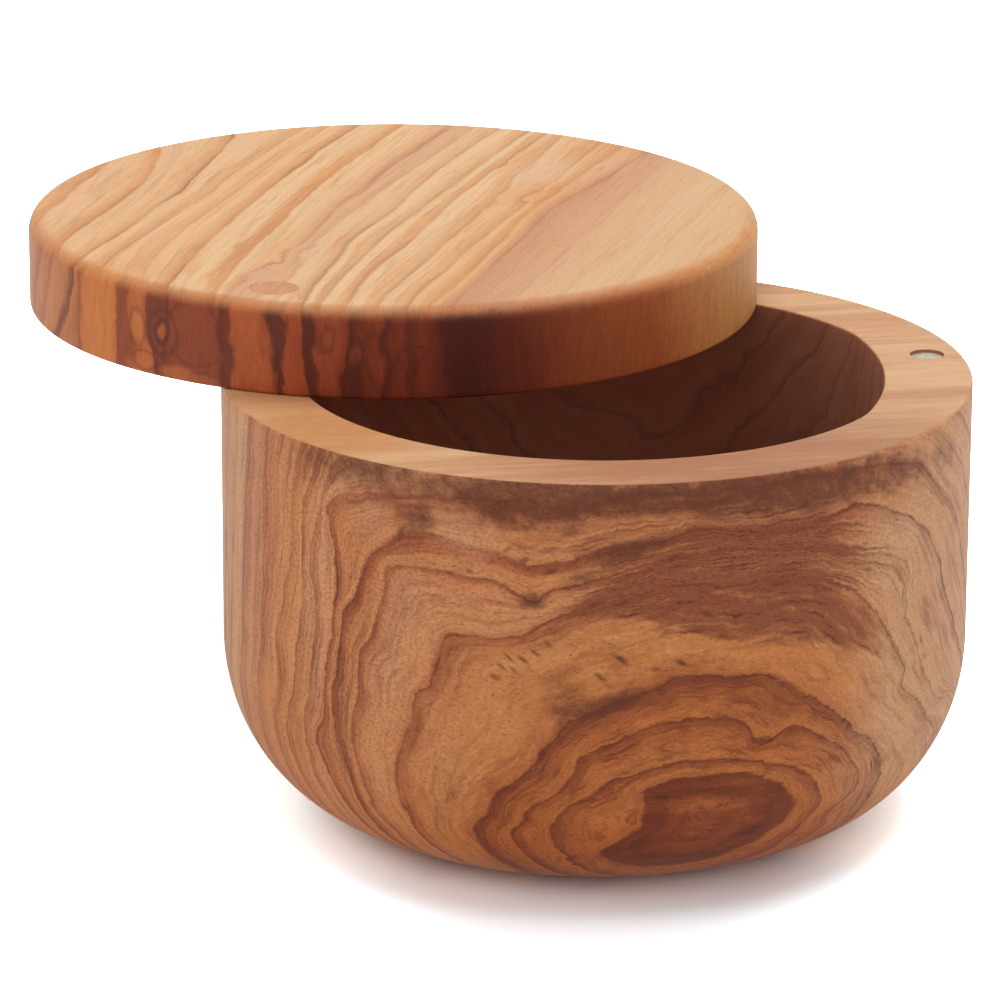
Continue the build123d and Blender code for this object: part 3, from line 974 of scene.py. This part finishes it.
def bowlZone(centres):
    # which wood a face wears: 0 the outside, 1 the rim's top, 2 the hollow and the magnet's pocket
    shape, nearly, topDeep, lipWide = bowlShape, 0.1, 0.12, 0.3  # mm
    radius, height = np.hypot(centres[:, 0], centres[:, 1]), centres[:, 2]
    aside = np.hypot(centres[:, 0] - magnetSpot[0], centres[:, 1] - magnetSpot[1])
    onTop = height > shape["height"] - topDeep
    hollow = (radius < shape["mouth"] + lipWide) & (height > shape["floor"] - nearly) & ~onTop
    underRim, pocketFloor = shape["height"] - tiny, shape["height"] - shape["pocketDeep"] - nearly
    pocket = (aside < shape["pocket"] + nearly) & (height > pocketFloor) & (height < underRim)
    return np.where(hollow | pocket, 2, np.where(onTop, 1, 0))


storePatches(bowlPiece, *unroll(vertexPlaces(bowlPiece), bowlFigure, bowlShape), bowlPatches)
outsideFinish = makeBowlOutside(bowlWood, bowlFigure, bowlDashes)
dress(bowlPiece, [outsideFinish, makeRimTop(rimWood), makeInside(insideWood)], bowlZone)
print("bowl dressed")

# the lid's figure: lines read off its top, in tenths of a millimetre on the closed lid, across
# from 60 mm left of its middle and down from 60 mm behind it
lidFigure = {
    "middle": 600, "lean": 3.0,  # the layers lean a little, so lower down they show further back
    # each line: how dark, how much honey colour above it, then its places from left to right
    "lines": [
        (0.5, 0.8, [(100, 150), (300, 112), (400, 94), (500, 82), (600, 70), (700, 57), (900, 30)]),
        (0.55, 0.9, [
            (150, 215), (200, 203), (300, 189), (400, 185), (500, 176), (600, 163), (700, 142), (800, 106),
            (900, 70),
        ]),
        (1.0, 0.6, [
            (130, 262), (200, 258), (300, 257), (400, 250), (470, 243), (570, 246), (600, 243), (650, 230),
            (700, 221), (800, 206), (900, 186), (960, 176),
        ]),
        (0.5, 0.5, [
            (100, 315), (200, 302), (300, 297), (400, 292), (600, 287), (700, 275), (850, 272),
            (1040, 268),
        ]),
        (0.25, 0.5, [
            (70, 400), (150, 372), (250, 352), (350, 340), (600, 326), (800, 308), (1000, 302),
            (1080, 300),
        ]),
        (0.9, 0.9, [
            (50, 450), (100, 440), (200, 421), (300, 401), (400, 390), (500, 377), (600, 371), (700, 361),
            (800, 356), (900, 347), (1100, 346),
        ]),
        (0.4, 1.0, [
            (50, 532), (100, 518), (200, 498), (300, 484), (400, 471), (450, 464), (500, 458), (550, 450),
            (600, 445), (700, 430), (800, 425), (1000, 413), (1120, 411),
        ]),
        (0.65, 0.3, [
            (30, 548), (100, 538), (150, 534), (200, 540), (250, 549), (300, 547), (400, 540), (500, 524),
            (560, 513), (620, 508), (700, 511), (800, 500), (900, 495), (1130, 493),
        ]),
        (0.4, 0.3, [
            (30, 600), (150, 598), (230, 585), (300, 568), (350, 566), (400, 552), (500, 546), (700, 536),
            (1130, 528),
        ]),
        (0.75, 0.5, [
            (50, 675), (100, 662), (150, 650), (250, 637), (340, 621), (380, 608), (450, 602), (600, 600),
            (700, 587), (850, 573), (1140, 570),
        ]),
        (0.5, 0.5, [
            (30, 700), (150, 681), (300, 661), (400, 650), (500, 641), (600, 638), (740, 631), (1000, 625),
            (1130, 622),
        ]),
        (0.55, 0.8, [
            (50, 737), (150, 717), (250, 702), (400, 695), (500, 683), (600, 673), (700, 664), (900, 658),
            (1140, 656),
        ]),
        (0.6, 0.5, [
            (60, 785), (130, 770), (200, 765), (300, 759), (400, 751), (500, 743), (600, 736), (700, 728),
            (800, 716), (850, 702), (1000, 696), (1130, 684),
        ]),
        (0.6, 0.4, [
            (80, 825), (150, 813), (200, 809), (300, 804), (400, 791), (500, 788), (700, 780), (1120, 760),
        ]),
        (0.35, 0.9, [(80, 855), (200, 848), (350, 838), (500, 822), (600, 808), (700, 800), (1110, 800)]),
        (0.65, 0.3, [
            (100, 885), (200, 875), (300, 866), (400, 857), (500, 849), (600, 838), (690, 830), (900, 845),
            (1100, 850),
        ]),
        (0.2, 0.0, [(150, 965), (200, 955), (300, 948), (500, 935), (700, 920), (900, 905), (1100, 895)]),
        (0.15, 0.1, [(200, 1015), (400, 1002), (700, 987), (1000, 975)]),
        (0.15, 0.1, [(300, 1085), (600, 1064), (900, 1050)]),
        (0.15, 0.1, [(300, 1150), (600, 1132), (900, 1120)]),
    ],
    # lines that run up and down the lid's side: across counts 10 to a degree from sideStart, and
    # down counts downScale to a mm from the top rounding, to downEnd
    "sideStart": 100.0, "downScale": 20.1, "downEnd": 224.0,
    "sideShown": ((60.0, 200.0), (1800.0, 2000.0)),  # where the drawn side fades in, and out
    "underFrom": (1.4, 0.8),  # mm in from the lid's edge, where the underside turns into the side
    "sideLines": [
        [(205, 0), (190, 110), (170, 224)], [(300, 0), (285, 50), (262, 110), (240, 224)],
        [(345, 0), (330, 80), (315, 150), (300, 224)],
        [(425, 0), (422, 50), (415, 100), (398, 150), (372, 200), (358, 224)],
        [(447, 0), (447, 60), (451, 110), (446, 150), (450, 200), (448, 224)],
        [(548, 0), (545, 100), (550, 224)], [(574, 0), (574, 100), (588, 150), (576, 224)],
        [(612, 0), (609, 60), (613, 110), (623, 150), (628, 224)],
        [(650, 0), (652, 60), (656, 110), (646, 150), (643, 224)], [(744, 0), (746, 110), (748, 224)],
        [(768, 0), (768, 110), (770, 224)], [(824, 0), (830, 60), (837, 110), (845, 224)],
        [(850, 0), (852, 110), (857, 224)], [(878, 0), (883, 110), (884, 224)],
        [(897, 0), (900, 110), (902, 224)], [(950, 0), (947, 60), (942, 110), (940, 224)],
        [(978, 0), (974, 110), (975, 224)], [(1002, 0), (1000, 110), (1003, 224)],
        [(1035, 0), (1040, 224)], [(1085, 0), (1090, 224)], [(1160, 0), (1165, 224)],
        [(1215, 0), (1225, 224)], [(1300, 0), (1310, 224)], [(1450, 0), (1470, 224)],
        [(1600, 0), (1640, 224)], [(1800, 0), (1880, 224)],
    ],
    # soft ovals on the top and on the side: across, down, half width, half height, tilt, strength
    "topPatches": {
        "lidHoney": [
            (770, 770, 110, 60, -5, 0.8), (1060, 780, 80, 60, -8, 0.6), (130, 330, 60, 80, -15, 0.5),
            (560, 760, 90, 30, -5, 0.3), (1000, 670, 130, 16, -2, 0.6),
        ],
        "lidPink": [(900, 745, 80, 50, 0, 0.9), (1010, 830, 80, 40, -10, 0.4)],
        "lidSwirl": [
            (270, 560, 110, 30, -8, 1.0), (760, 770, 110, 46, 4, 0.6), (160, 540, 60, 20, 0, 0.5),
            (940, 660, 90, 24, 0, 0.3),
        ],
    },
    "sidePatches": {"sideDark": [(960, 160, 14, 80, 0, 0.8), (1120, 80, 30, 200, 0, 0.4)]},
    # closed loops on the side: across, down, half width, half height, tilt, share of fill, share of
    # outline, and the fill's colour
    "sideLoops": [
        (592, 92, 17, 58, 0, 0.6, 0.3, (214, 140, 86)), (606, 190, 25, 30, 0, 0.6, 0.4, (204, 126, 78)),
        (643, 90, 28, 70, 0, 0.0, 0.5, (160, 84, 56)), (643, 88, 12, 36, 0, 1.0, 0.8, (190, 104, 62)),
        (702, 80, 52, 96, 0, 0.0, 0.35, (138, 68, 48)), (670, 212, 40, 34, 0, 0.9, 0.2, (196, 114, 70)),
        (720, 222, 30, 26, 0, 0.7, 0.2, (186, 104, 64)), (915, 50, 9, 36, 5, 0.5, 0.45, (178, 92, 58)),
        (960, 96, 13, 44, 4, 0.7, 0.6, (162, 80, 52)), (992, 118, 17, 88, -4, 0.4, 0.55, (142, 66, 45)),
        (1042, 92, 18, 28, 35, 0.0, 0.5, (120, 52, 38)), (245, 110, 30, 64, 10, 0.4, 0.1, (190, 118, 92)),
        (268, 186, 26, 36, -15, 0.35, 0.1, (188, 116, 90)), (820, 60, 12, 44, 3, 0.35, 0.2, (176, 94, 60)),
        (795, 170, 14, 50, -3, 0.35, 0.15, (182, 98, 62)),
    ],
}


def nestedLevels(along, across, lines, first):
    # lines given as places (along, across); how many of them lie before each place, with the
    # share of the way to the next, and the distance in mm between those two lines
    start, stop, step = -100.0, 1400.0, 5.0  # where along the lines they are read
    beyond, least = 60.0, 6.0  # the way to a level past the last line, and the least between two
    even = np.arange(start, stop, step)
    window = np.hanning(9)
    level = np.zeros_like(across)
    gap = np.full_like(across, beyond)
    before = np.full_like(across, first)
    for line in lines:
        points = np.array(line, float)
        row = np.interp(even, points[:, 0], points[:, 1])
        row = np.convolve(np.pad(row, 4, "edge"), window / window.sum(), "valid")
        row = np.maximum(np.interp(along, even, row), before + least)
        between = (across >= before) & (across < row)
        gap = np.where(between, row - before, gap)
        level += np.clip((across - before) / (row - before), 0.0, 1.0)
        before = row
    return level + np.maximum(across - before, 0.0) / beyond, gap / 10.0


def figureLid(piece, figure, shape):
    places = vertexPlaces(piece)
    middle = swung(0, 0)
    dx, dy = places[:, 0] - middle[0], places[:, 1] - middle[1]
    cos, sin = math.cos(openAngle), math.sin(openAngle)
    right, back = dx * cos + dy * sin, dy * cos - dx * sin
    depth = shape["high"] - places[:, 2]
    across = figure["middle"] + 10 * right
    down = figure["middle"] - 10 * back - figure["lean"] * depth
    level, gap = nestedLevels(across, down, [line for _, _, line in figure["lines"]], -60.0)
    store(piece, "lidAlong", right)
    store(piece, "lidLevel", level)
    store(piece, "lidGap", gap)
    storePatches(piece, across, down, figure["topPatches"])
    side = (np.degrees(np.arctan2(back, right)) - figure["sideStart"]) % 360.0 * 10.0
    low = np.clip((depth - shape["topRound"]) * figure["downScale"], 0.0, figure["downEnd"])
    sideLines = [[(y, x) for x, y in line] for line in figure["sideLines"]]
    level, gap = nestedLevels(low, side, sideLines, 0.0)
    store(piece, "sideLevel", level)
    store(piece, "sideGap", gap)
    store(piece, "sideAcross", side)
    store(piece, "sideDown", low)
    storePatches(piece, side, low, figure["sidePatches"])
    fadeIn, fadeOut = figure["sideShown"]
    store(piece, "sideShown", smoothStep(side, *fadeIn) * (1.0 - smoothStep(side, *fadeOut)))
    # how far a place lies past the start of the top edge's round, outwards and down, in mm
    outwards, rounding = np.hypot(right, back), shape["topRound"]
    overEdge = outwards - (shape["radius"] - rounding) + np.minimum(depth, rounding)
    underStart, underStop = (shape["radius"] - way for way in figure["underFrom"])
    underneath = smoothStep(outwards, underStart, underStop) * 2 * rounding
    store(piece, "overEdge", np.where(depth > 4 * rounding, underneath, overEdge))


figureLid(lidPiece, lidFigure, lidShape)

lidWood = {
    # level of the top's lines and of the side's lines, and the tone there
    "topTones": [
        (0.0, (211, 168, 126)), (0.6, (211, 166, 122)), (1.1, (216, 176, 134)), (2.1, (214, 175, 134)),
        (3.1, (216, 180, 138)), (4.1, (216, 178, 136)), (5.1, (216, 176, 132)), (6.1, (217, 182, 140)),
        (7.1, (217, 184, 142)), (7.7, (214, 176, 134)), (8.05, (200, 156, 122)), (8.6, (208, 168, 132)),
        (9.0, (213, 176, 138)), (10.1, (217, 184, 143)), (11.1, (217, 184, 144)), (12.1, (217, 184, 144)),
        (13.1, (215, 179, 137)), (14.1, (213, 174, 130)), (15.0, (212, 168, 122)), (15.7, (204, 154, 116)),
        (16.05, (188, 138, 106)), (16.5, (195, 148, 114)), (17.0, (201, 157, 120)),
        (17.4, (206, 166, 127)), (18.5, (208, 175, 135)), (21.0, (206, 172, 130)),
    ],
    "sideTones": [
        (0.0, (216, 170, 134)), (0.8, (213, 158, 122)), (1.5, (208, 146, 110)), (1.9, (192, 122, 90)),
        (2.0, (184, 112, 82)), (2.15, (208, 144, 106)), (2.8, (205, 136, 98)), (3.0, (186, 112, 80)),
        (3.15, (212, 148, 106)), (3.75, (206, 136, 96)), (3.97, (140, 76, 54)), (4.12, (132, 68, 50)),
        (4.25, (206, 134, 92)), (4.85, (196, 122, 82)), (5.0, (150, 82, 54)), (5.1, (214, 132, 80)),
        (5.4, (226, 144, 88)), (5.93, (218, 136, 82)), (6.0, (158, 84, 54)), (6.8, (160, 86, 56)),
        (7.0, (196, 112, 68)), (7.6, (208, 124, 76)), (7.97, (196, 110, 68)), (8.03, (132, 66, 46)),
        (8.9, (138, 68, 48)), (9.0, (112, 52, 38)), (9.06, (150, 76, 54)), (9.5, (158, 80, 57)),
        (9.96, (150, 76, 54)), (10.03, (114, 54, 40)), (10.9, (124, 60, 44)), (11.1, (186, 100, 62)),
        (11.5, (196, 108, 66)), (11.95, (178, 94, 58)), (12.06, (104, 48, 36)), (12.9, (110, 52, 40)),
        (13.1, (178, 92, 60)), (13.9, (170, 84, 54)), (14.06, (96, 42, 32)), (14.9, (104, 46, 34)),
        (15.1, (158, 78, 50)), (15.6, (166, 84, 54)), (15.95, (150, 70, 46)), (16.04, (98, 42, 31)),
        (16.6, (118, 52, 37)), (17.0, (138, 64, 43)), (17.8, (150, 70, 46)), (18.0, (90, 38, 29)),
        (18.3, (128, 58, 40)), (18.8, (140, 64, 44)), (19.0, (104, 46, 33)), (19.4, (140, 64, 44)),
        (19.9, (118, 50, 36)), (20.1, (92, 35, 28)), (20.6, (85, 32, 27)), (21.0, (97, 39, 30)),
        (22.0, (123, 56, 39)), (23.0, (160, 85, 52)), (24.0, (182, 103, 63)), (24.5, (208, 139, 90)),
        (25.0, (218, 158, 102)), (26.0, (226, 175, 117)), (27.0, (218, 178, 124)),
    ],
    "lastTop": 22.0, "lastSide": 28.0, "grainTurn": 4.5,  # degrees from the lid's own x axis
    "line": (142, 80, 46), "honey": (205, 143, 78), "pink": (214, 178, 150), "edge": (205, 130, 74),
    "sideLine": (104, 47, 35), "sideDark": (80, 34, 27), "pore": (140, 80, 48),
    # factors of red, green and blue
    "warmth": (1.05, 0.95, 0.84), "sideWarmth": (0.96, 0.82, 0.60), "sideLift": (0.98, 0.86, 0.76),
    "strandDark": (0.84, 0.80, 0.77), "strandLight": (1.12, 1.13, 1.11),
    "fineDark": (0.9, 0.86, 0.82), "fineLight": (1.06, 1.06, 1.06),
    "gloss": 0.25, "bumpDepth": 0.00004,  # metres
}


def lidTop(wood, tones, figure, lengthwise):
    # level = stored level + soft noises, and a curl where the grain swirls
    drift = wood.noise((16, 5, 5), 2.0, tilt=lengthwise) - 0.5
    jitter = wood.noise((7, 1.4, 1.4), 3.0, 0.6, lengthwise) - 0.5
    curl = wood.noise((6, 3, 3), 2.0, tilt=lengthwise) - 0.5
    level = wood.stored("lidLevel") + drift * 0.2 + jitter * 0.16 + curl * wood.stored("lidSwirl") * 2.2
    tone = wood.longRamp(level, tones["topTones"], tones["lastTop"])
    # distance in mm from the nearest line, below 0 on the side that its colour fades to
    distance = ((level + 0.5).maths("FRACT") - 0.5) * wood.stored("lidGap")
    darkness = wood.lineShare(level, [dark for dark, _, _ in figure["lines"]])
    honeyShare = wood.lineShare(level, [honey for _, honey, _ in figure["lines"]])
    worn = wood.smooth(wood.noise((22, 5, 5), 3.0, 0.6, lengthwise), 0.32, 0.6, 0.3, 1.0)
    along = wood.stored("lidAlong")
    streak = wood.noiseAt(wood.vector(along / 32.0, level * 3.0), 4.0, 0.62)
    # veins lie where a long noise crosses its middle value, and thin out in the plain right part
    crossing = wood.noiseAt(wood.vector(along / 60.0, level * 2.2, 9.0), 1.5)
    plain = wood.smooth(level, 15.0, 16.2, 0.0, 0.75)
    vein = (1.0 - wood.smooth(abs(crossing - 0.5), 0.0, 0.03)) * (1.0 - plain)
    fade = wood.smooth(distance + (streak - 0.5) * 5.0, -4.2, -0.4)
    honey = fade * (1.0 - wood.smooth(distance, 0.0, 0.6)) * honeyShare
    tone = wood.tinted(tone, honey * 0.85, tones["honey"])
    tone = wood.tinted(tone, wood.smooth(streak, 0.52, 0.7, 0.0, 0.5), tones["honey"])
    tone = wood.tinted(tone, wood.stored("lidHoney") * 0.55, tones["honey"])
    tone = wood.tinted(tone, wood.stored("lidPink") * 0.6, tones["pink"])
    soft, sharp = wood.smooth(distance, -2.2, -0.1) * 0.5, wood.smooth(distance, -0.75, -0.15)
    dark = soft.maths("MAXIMUM", sharp) * (1.0 - wood.smooth(distance, 0.1, 0.55)) * darkness * worn
    dark = dark.maths("MAXIMUM", vein * worn * 0.34)
    return wood.tinted(tone, dark * 0.72, tones["line"]), dark


def lidSide(wood, tones, figure, sway, fray):
    # the side shows the same layers cut across: tones by the level of its own lines, swayed and
    # frayed by so many mm, then closed loops, each a fill and an outline by the reach from its middle
    level = wood.stored("sideLevel") + (sway * 3.6 + fray * 1.3) / wood.stored("sideGap")
    side = wood.longRamp(level, tones["sideTones"], tones["lastSide"])
    across = wood.stored("sideAcross") + sway * 20.0 + fray * 7.0
    wall = wood.vector(across, wood.stored("sideDown") + fray * 14.0)
    for x, y, wide, high, tilt, filled, outlined, fill in figure["sideLoops"]:
        reach = wood.length(wood.stretched(wall, (wide, high, 1), (0, 0, tilt), (x, y, 0)))
        side = wood.tinted(side, (1.0 - wood.smooth(reach, 0.45, 1.05)) * filled, fill)
        outline = 1.0 - wood.smooth(abs(reach - 1.0), 0.0, 6.5 / wide)
        side = wood.tinted(side, outline * outlined, tones["sideLine"])
    side = wood.tinted(side, wood.stored("sideDark") * 0.7, tones["sideDark"])
    return wood.times(side, tones["sideWarmth"])


def makeLidWood(tones, figure):
    wood = newFinish("lidWood")
    # the grain runs along the closed lid's x axis, which the open lid has turned by its angle
    lengthwise = (0, 0, openDegrees + tones["grainTurn"])
    top, dark = lidTop(wood, tones, figure, lengthwise)
    sway = wood.noise((3.6, 3.6, 5.5), 2.0) - 0.5
    fray = wood.noise((0.8, 0.8, 3), 3.0, 0.65) - 0.5
    drawn = lidSide(wood, tones, figure, sway, fray)
    # away from the drawn stretch the side goes on with the top's own tones
    shown = wood.stored("sideShown")
    side = wood.blend(shown, wood.times(top, tones["sideLift"]), drawn)
    strands = wood.noise((0.9, 0.9, 6), 4.0, 0.65)
    side = wood.grained(side, strands, tones["strandDark"], tones["strandLight"])
    # top to side over the rounded edge, rubbed to a honey tone midway: share x (1 - share)
    onSide = wood.smooth(wood.stored("overEdge") + (strands - 0.5) * 0.8, -0.9, 4.3)
    tone = wood.blend(onSide, wood.times(top, tones["warmth"]), side)
    rubbed = onSide * (1.0 - onSide) * wood.smooth(sway + fray * 0.7, -0.2, 0.2, 1.0, 2.8)
    tone = wood.tinted(tone, rubbed * shown, tones["edge"])
    fine = wood.noise((14, 0.5, 0.5), 4.0, 0.65, lengthwise)
    tone = wood.grained(tone, fine, tones["fineDark"], tones["fineLight"])
    fibre = wood.noise((1.6, 0.25, 0.25), 3.0, 0.6, lengthwise)
    pore = wood.smooth(wood.noise((1.8, 0.22, 0.22), 1.0, tilt=lengthwise), 0.66, 0.75)
    tone = wood.tinted(tone, pore * 0.3, tones["pore"])
    rough = wood.smooth(fibre, 0.2, 0.8, 0.46, 0.58)
    return wood.surface(tone, rough, fibre * 0.5 - pore - dark * 0.4, tones["bumpDepth"], tones["gloss"])


dress(lidPiece, [makeLidWood(lidWood, lidFigure)])
print("lid dressed")

# the plug over the pivot: a disc a shade redder than the lid, with its own short grain
plugShape = {
    "radius": 3.7, "high": 81.8, "deep": 3.4, "round": 0.12, "chamfer": 0.1, "grainTurn": 8,
    "wood": (201, 138, 87), "dark": (184, 116, 71),
    "fibreDark": (0.86, 0.82, 0.8), "fibreLight": (1.07, 1.07, 1.07),
}


def makePlugWood(tones):
    # wood to dark by bands of noise, times short fibres
    wood = newFinish("plugWood")
    lengthwise = (0, 0, openDegrees + tones["grainTurn"])
    bands = wood.noise((9, 1.6, 6), 3.0, 0.6, lengthwise)
    tone = wood.blend(wood.smooth(bands, 0.3, 0.75, 0.0, 0.8), solid(*tones["wood"]), solid(*tones["dark"]))
    fibre = wood.noise((1.5, 0.2, 0.2), 3.0, 0.6, lengthwise)
    tone = wood.grained(tone, fibre, tones["fibreDark"], tones["fibreLight"])
    return wood.surface(tone, wood.smooth(fibre, 0.2, 0.8, 0.45, 0.6), fibre, 0.00003)


def makePlug(shape):
    radius, high, soft, chamfer = shape["radius"], shape["high"], shape["round"], shape["chamfer"]
    low = high - shape["deep"]
    lower = [(0, low), (radius - chamfer, low), (radius, low + chamfer), (radius, high - soft)]
    profile = joinProfile([
        *runs(lower, (3, 1, 4)),
        arc((radius - soft, high - soft), (soft, soft), 0, 90, 5),
        run((radius - soft, high), (0, high), 8),
    ])
    plug = turned("plugTurned", profile, 96, pivot)
    settle(plug, "lid_body", ["pivot_plug"])
    dress(plug, [makePlugWood(shape)])


makePlug(plugShape)

# both magnets, and the glue that fills their pockets behind and beside them
magnetShape = {
    "radius": 2.5, "thick": 2.0, "bevel": 0.15, "pocket": 2.65, "glue": 0.2,
    # where, its lowest height, the way its open face looks, its body and its middle
    "places": [
        ("rim", 65.4, 1, "bowl_body", magnetSpot),
        ("lid", 68.0, -1, "lid_body", swung(*magnetSpot)),
    ],
}


def makeNickel():
    # tarnish by a cloudy noise, roughness and bump by long fine scratches
    metal = newFinish("magnetNickel")
    cloud = metal.noise((1.4, 1.4, 1.4), 3.0, 0.6)
    scratch = metal.noise((3.0, 0.12, 0.12), 2.0, tilt=(0, 0, 35))
    tone = metal.blend(metal.smooth(cloud, 0.3, 0.7), solid(200, 188, 170), solid(176, 164, 146))
    return metal.surface(tone, metal.smooth(scratch, 0.3, 0.7, 0.34, 0.5), scratch, 0.00001, metal=0.85)


def makeGlue():
    # amber, lighter and darker by a cloudy noise that also gives the roughness and the bump
    glue = newFinish("magnetGlue")
    cloud = glue.noise((0.8, 0.8, 0.8), 3.0)
    tone = glue.blend(glue.smooth(cloud, 0.3, 0.7), solid(176, 146, 104), solid(140, 104, 66))
    return glue.surface(tone, glue.smooth(cloud, 0.3, 0.7, 0.25, 0.4), cloud, 0.00005)


def makeSteel():
    # lighter and darker by a noise drawn out round the axis, as turning leaves it
    metal = newFinish("pivotSteel")
    brushed = metal.noise((0.9, 0.9, 0.08), 3.0)
    tone = metal.blend(metal.smooth(brushed, 0.3, 0.7), solid(190, 188, 182), solid(158, 156, 150))
    return metal.surface(tone, metal.smooth(brushed, 0.3, 0.7, 0.28, 0.42), brushed, 0.00001, metal=1.0)


def makeMagnets(shape):
    nickel, glue = makeNickel(), makeGlue()
    radius, bevel, pocket = shape["radius"], shape["bevel"], shape["pocket"]
    for where, low, faceUp, body, centre in shape["places"]:
        high = low + shape["thick"]
        lower = [(0, low), (radius - bevel, low), (radius, low + bevel)]
        upper = [(radius, high - bevel), (radius - bevel, high), (0, high)]
        disc = joinProfile(runs(lower + upper, (4, 1, 3, 1, 4)))
        magnet = turned(where + "MagnetDisc", disc, 96, centre)
        settle(magnet, body, [where + "_magnet"])
        dress(magnet, [nickel])
        # a cup round the magnet: up its outside from the back, and down its inside to the floor
        back, edge, floor = low - shape["glue"], high - bevel, low
        if faceUp < 0:
            back, edge, floor = high + shape["glue"], low + bevel, high
        outside = [(0, back), (pocket, back), (pocket, edge)]
        inside = [(radius, edge), (radius, floor + faceUp * bevel), (radius - bevel, floor), (0, floor)]
        cup = joinProfile(runs(outside + inside, (3, 3, 1, 3, 1, 3)))[::faceUp]
        ring = turned(where + "GlueCup", cup, 96, centre)
        settle(ring, body, [where + "_magnet_glue"])
        dress(ring, [glue])


makeMagnets(magnetShape)
print("plug, magnets and glue made")

steel = makeSteel()
for name in ("pivot_screw", "pivot_washer"):
    for part in nodes[name].material_slots:
        part.material = steel
print("pivot's steel made")
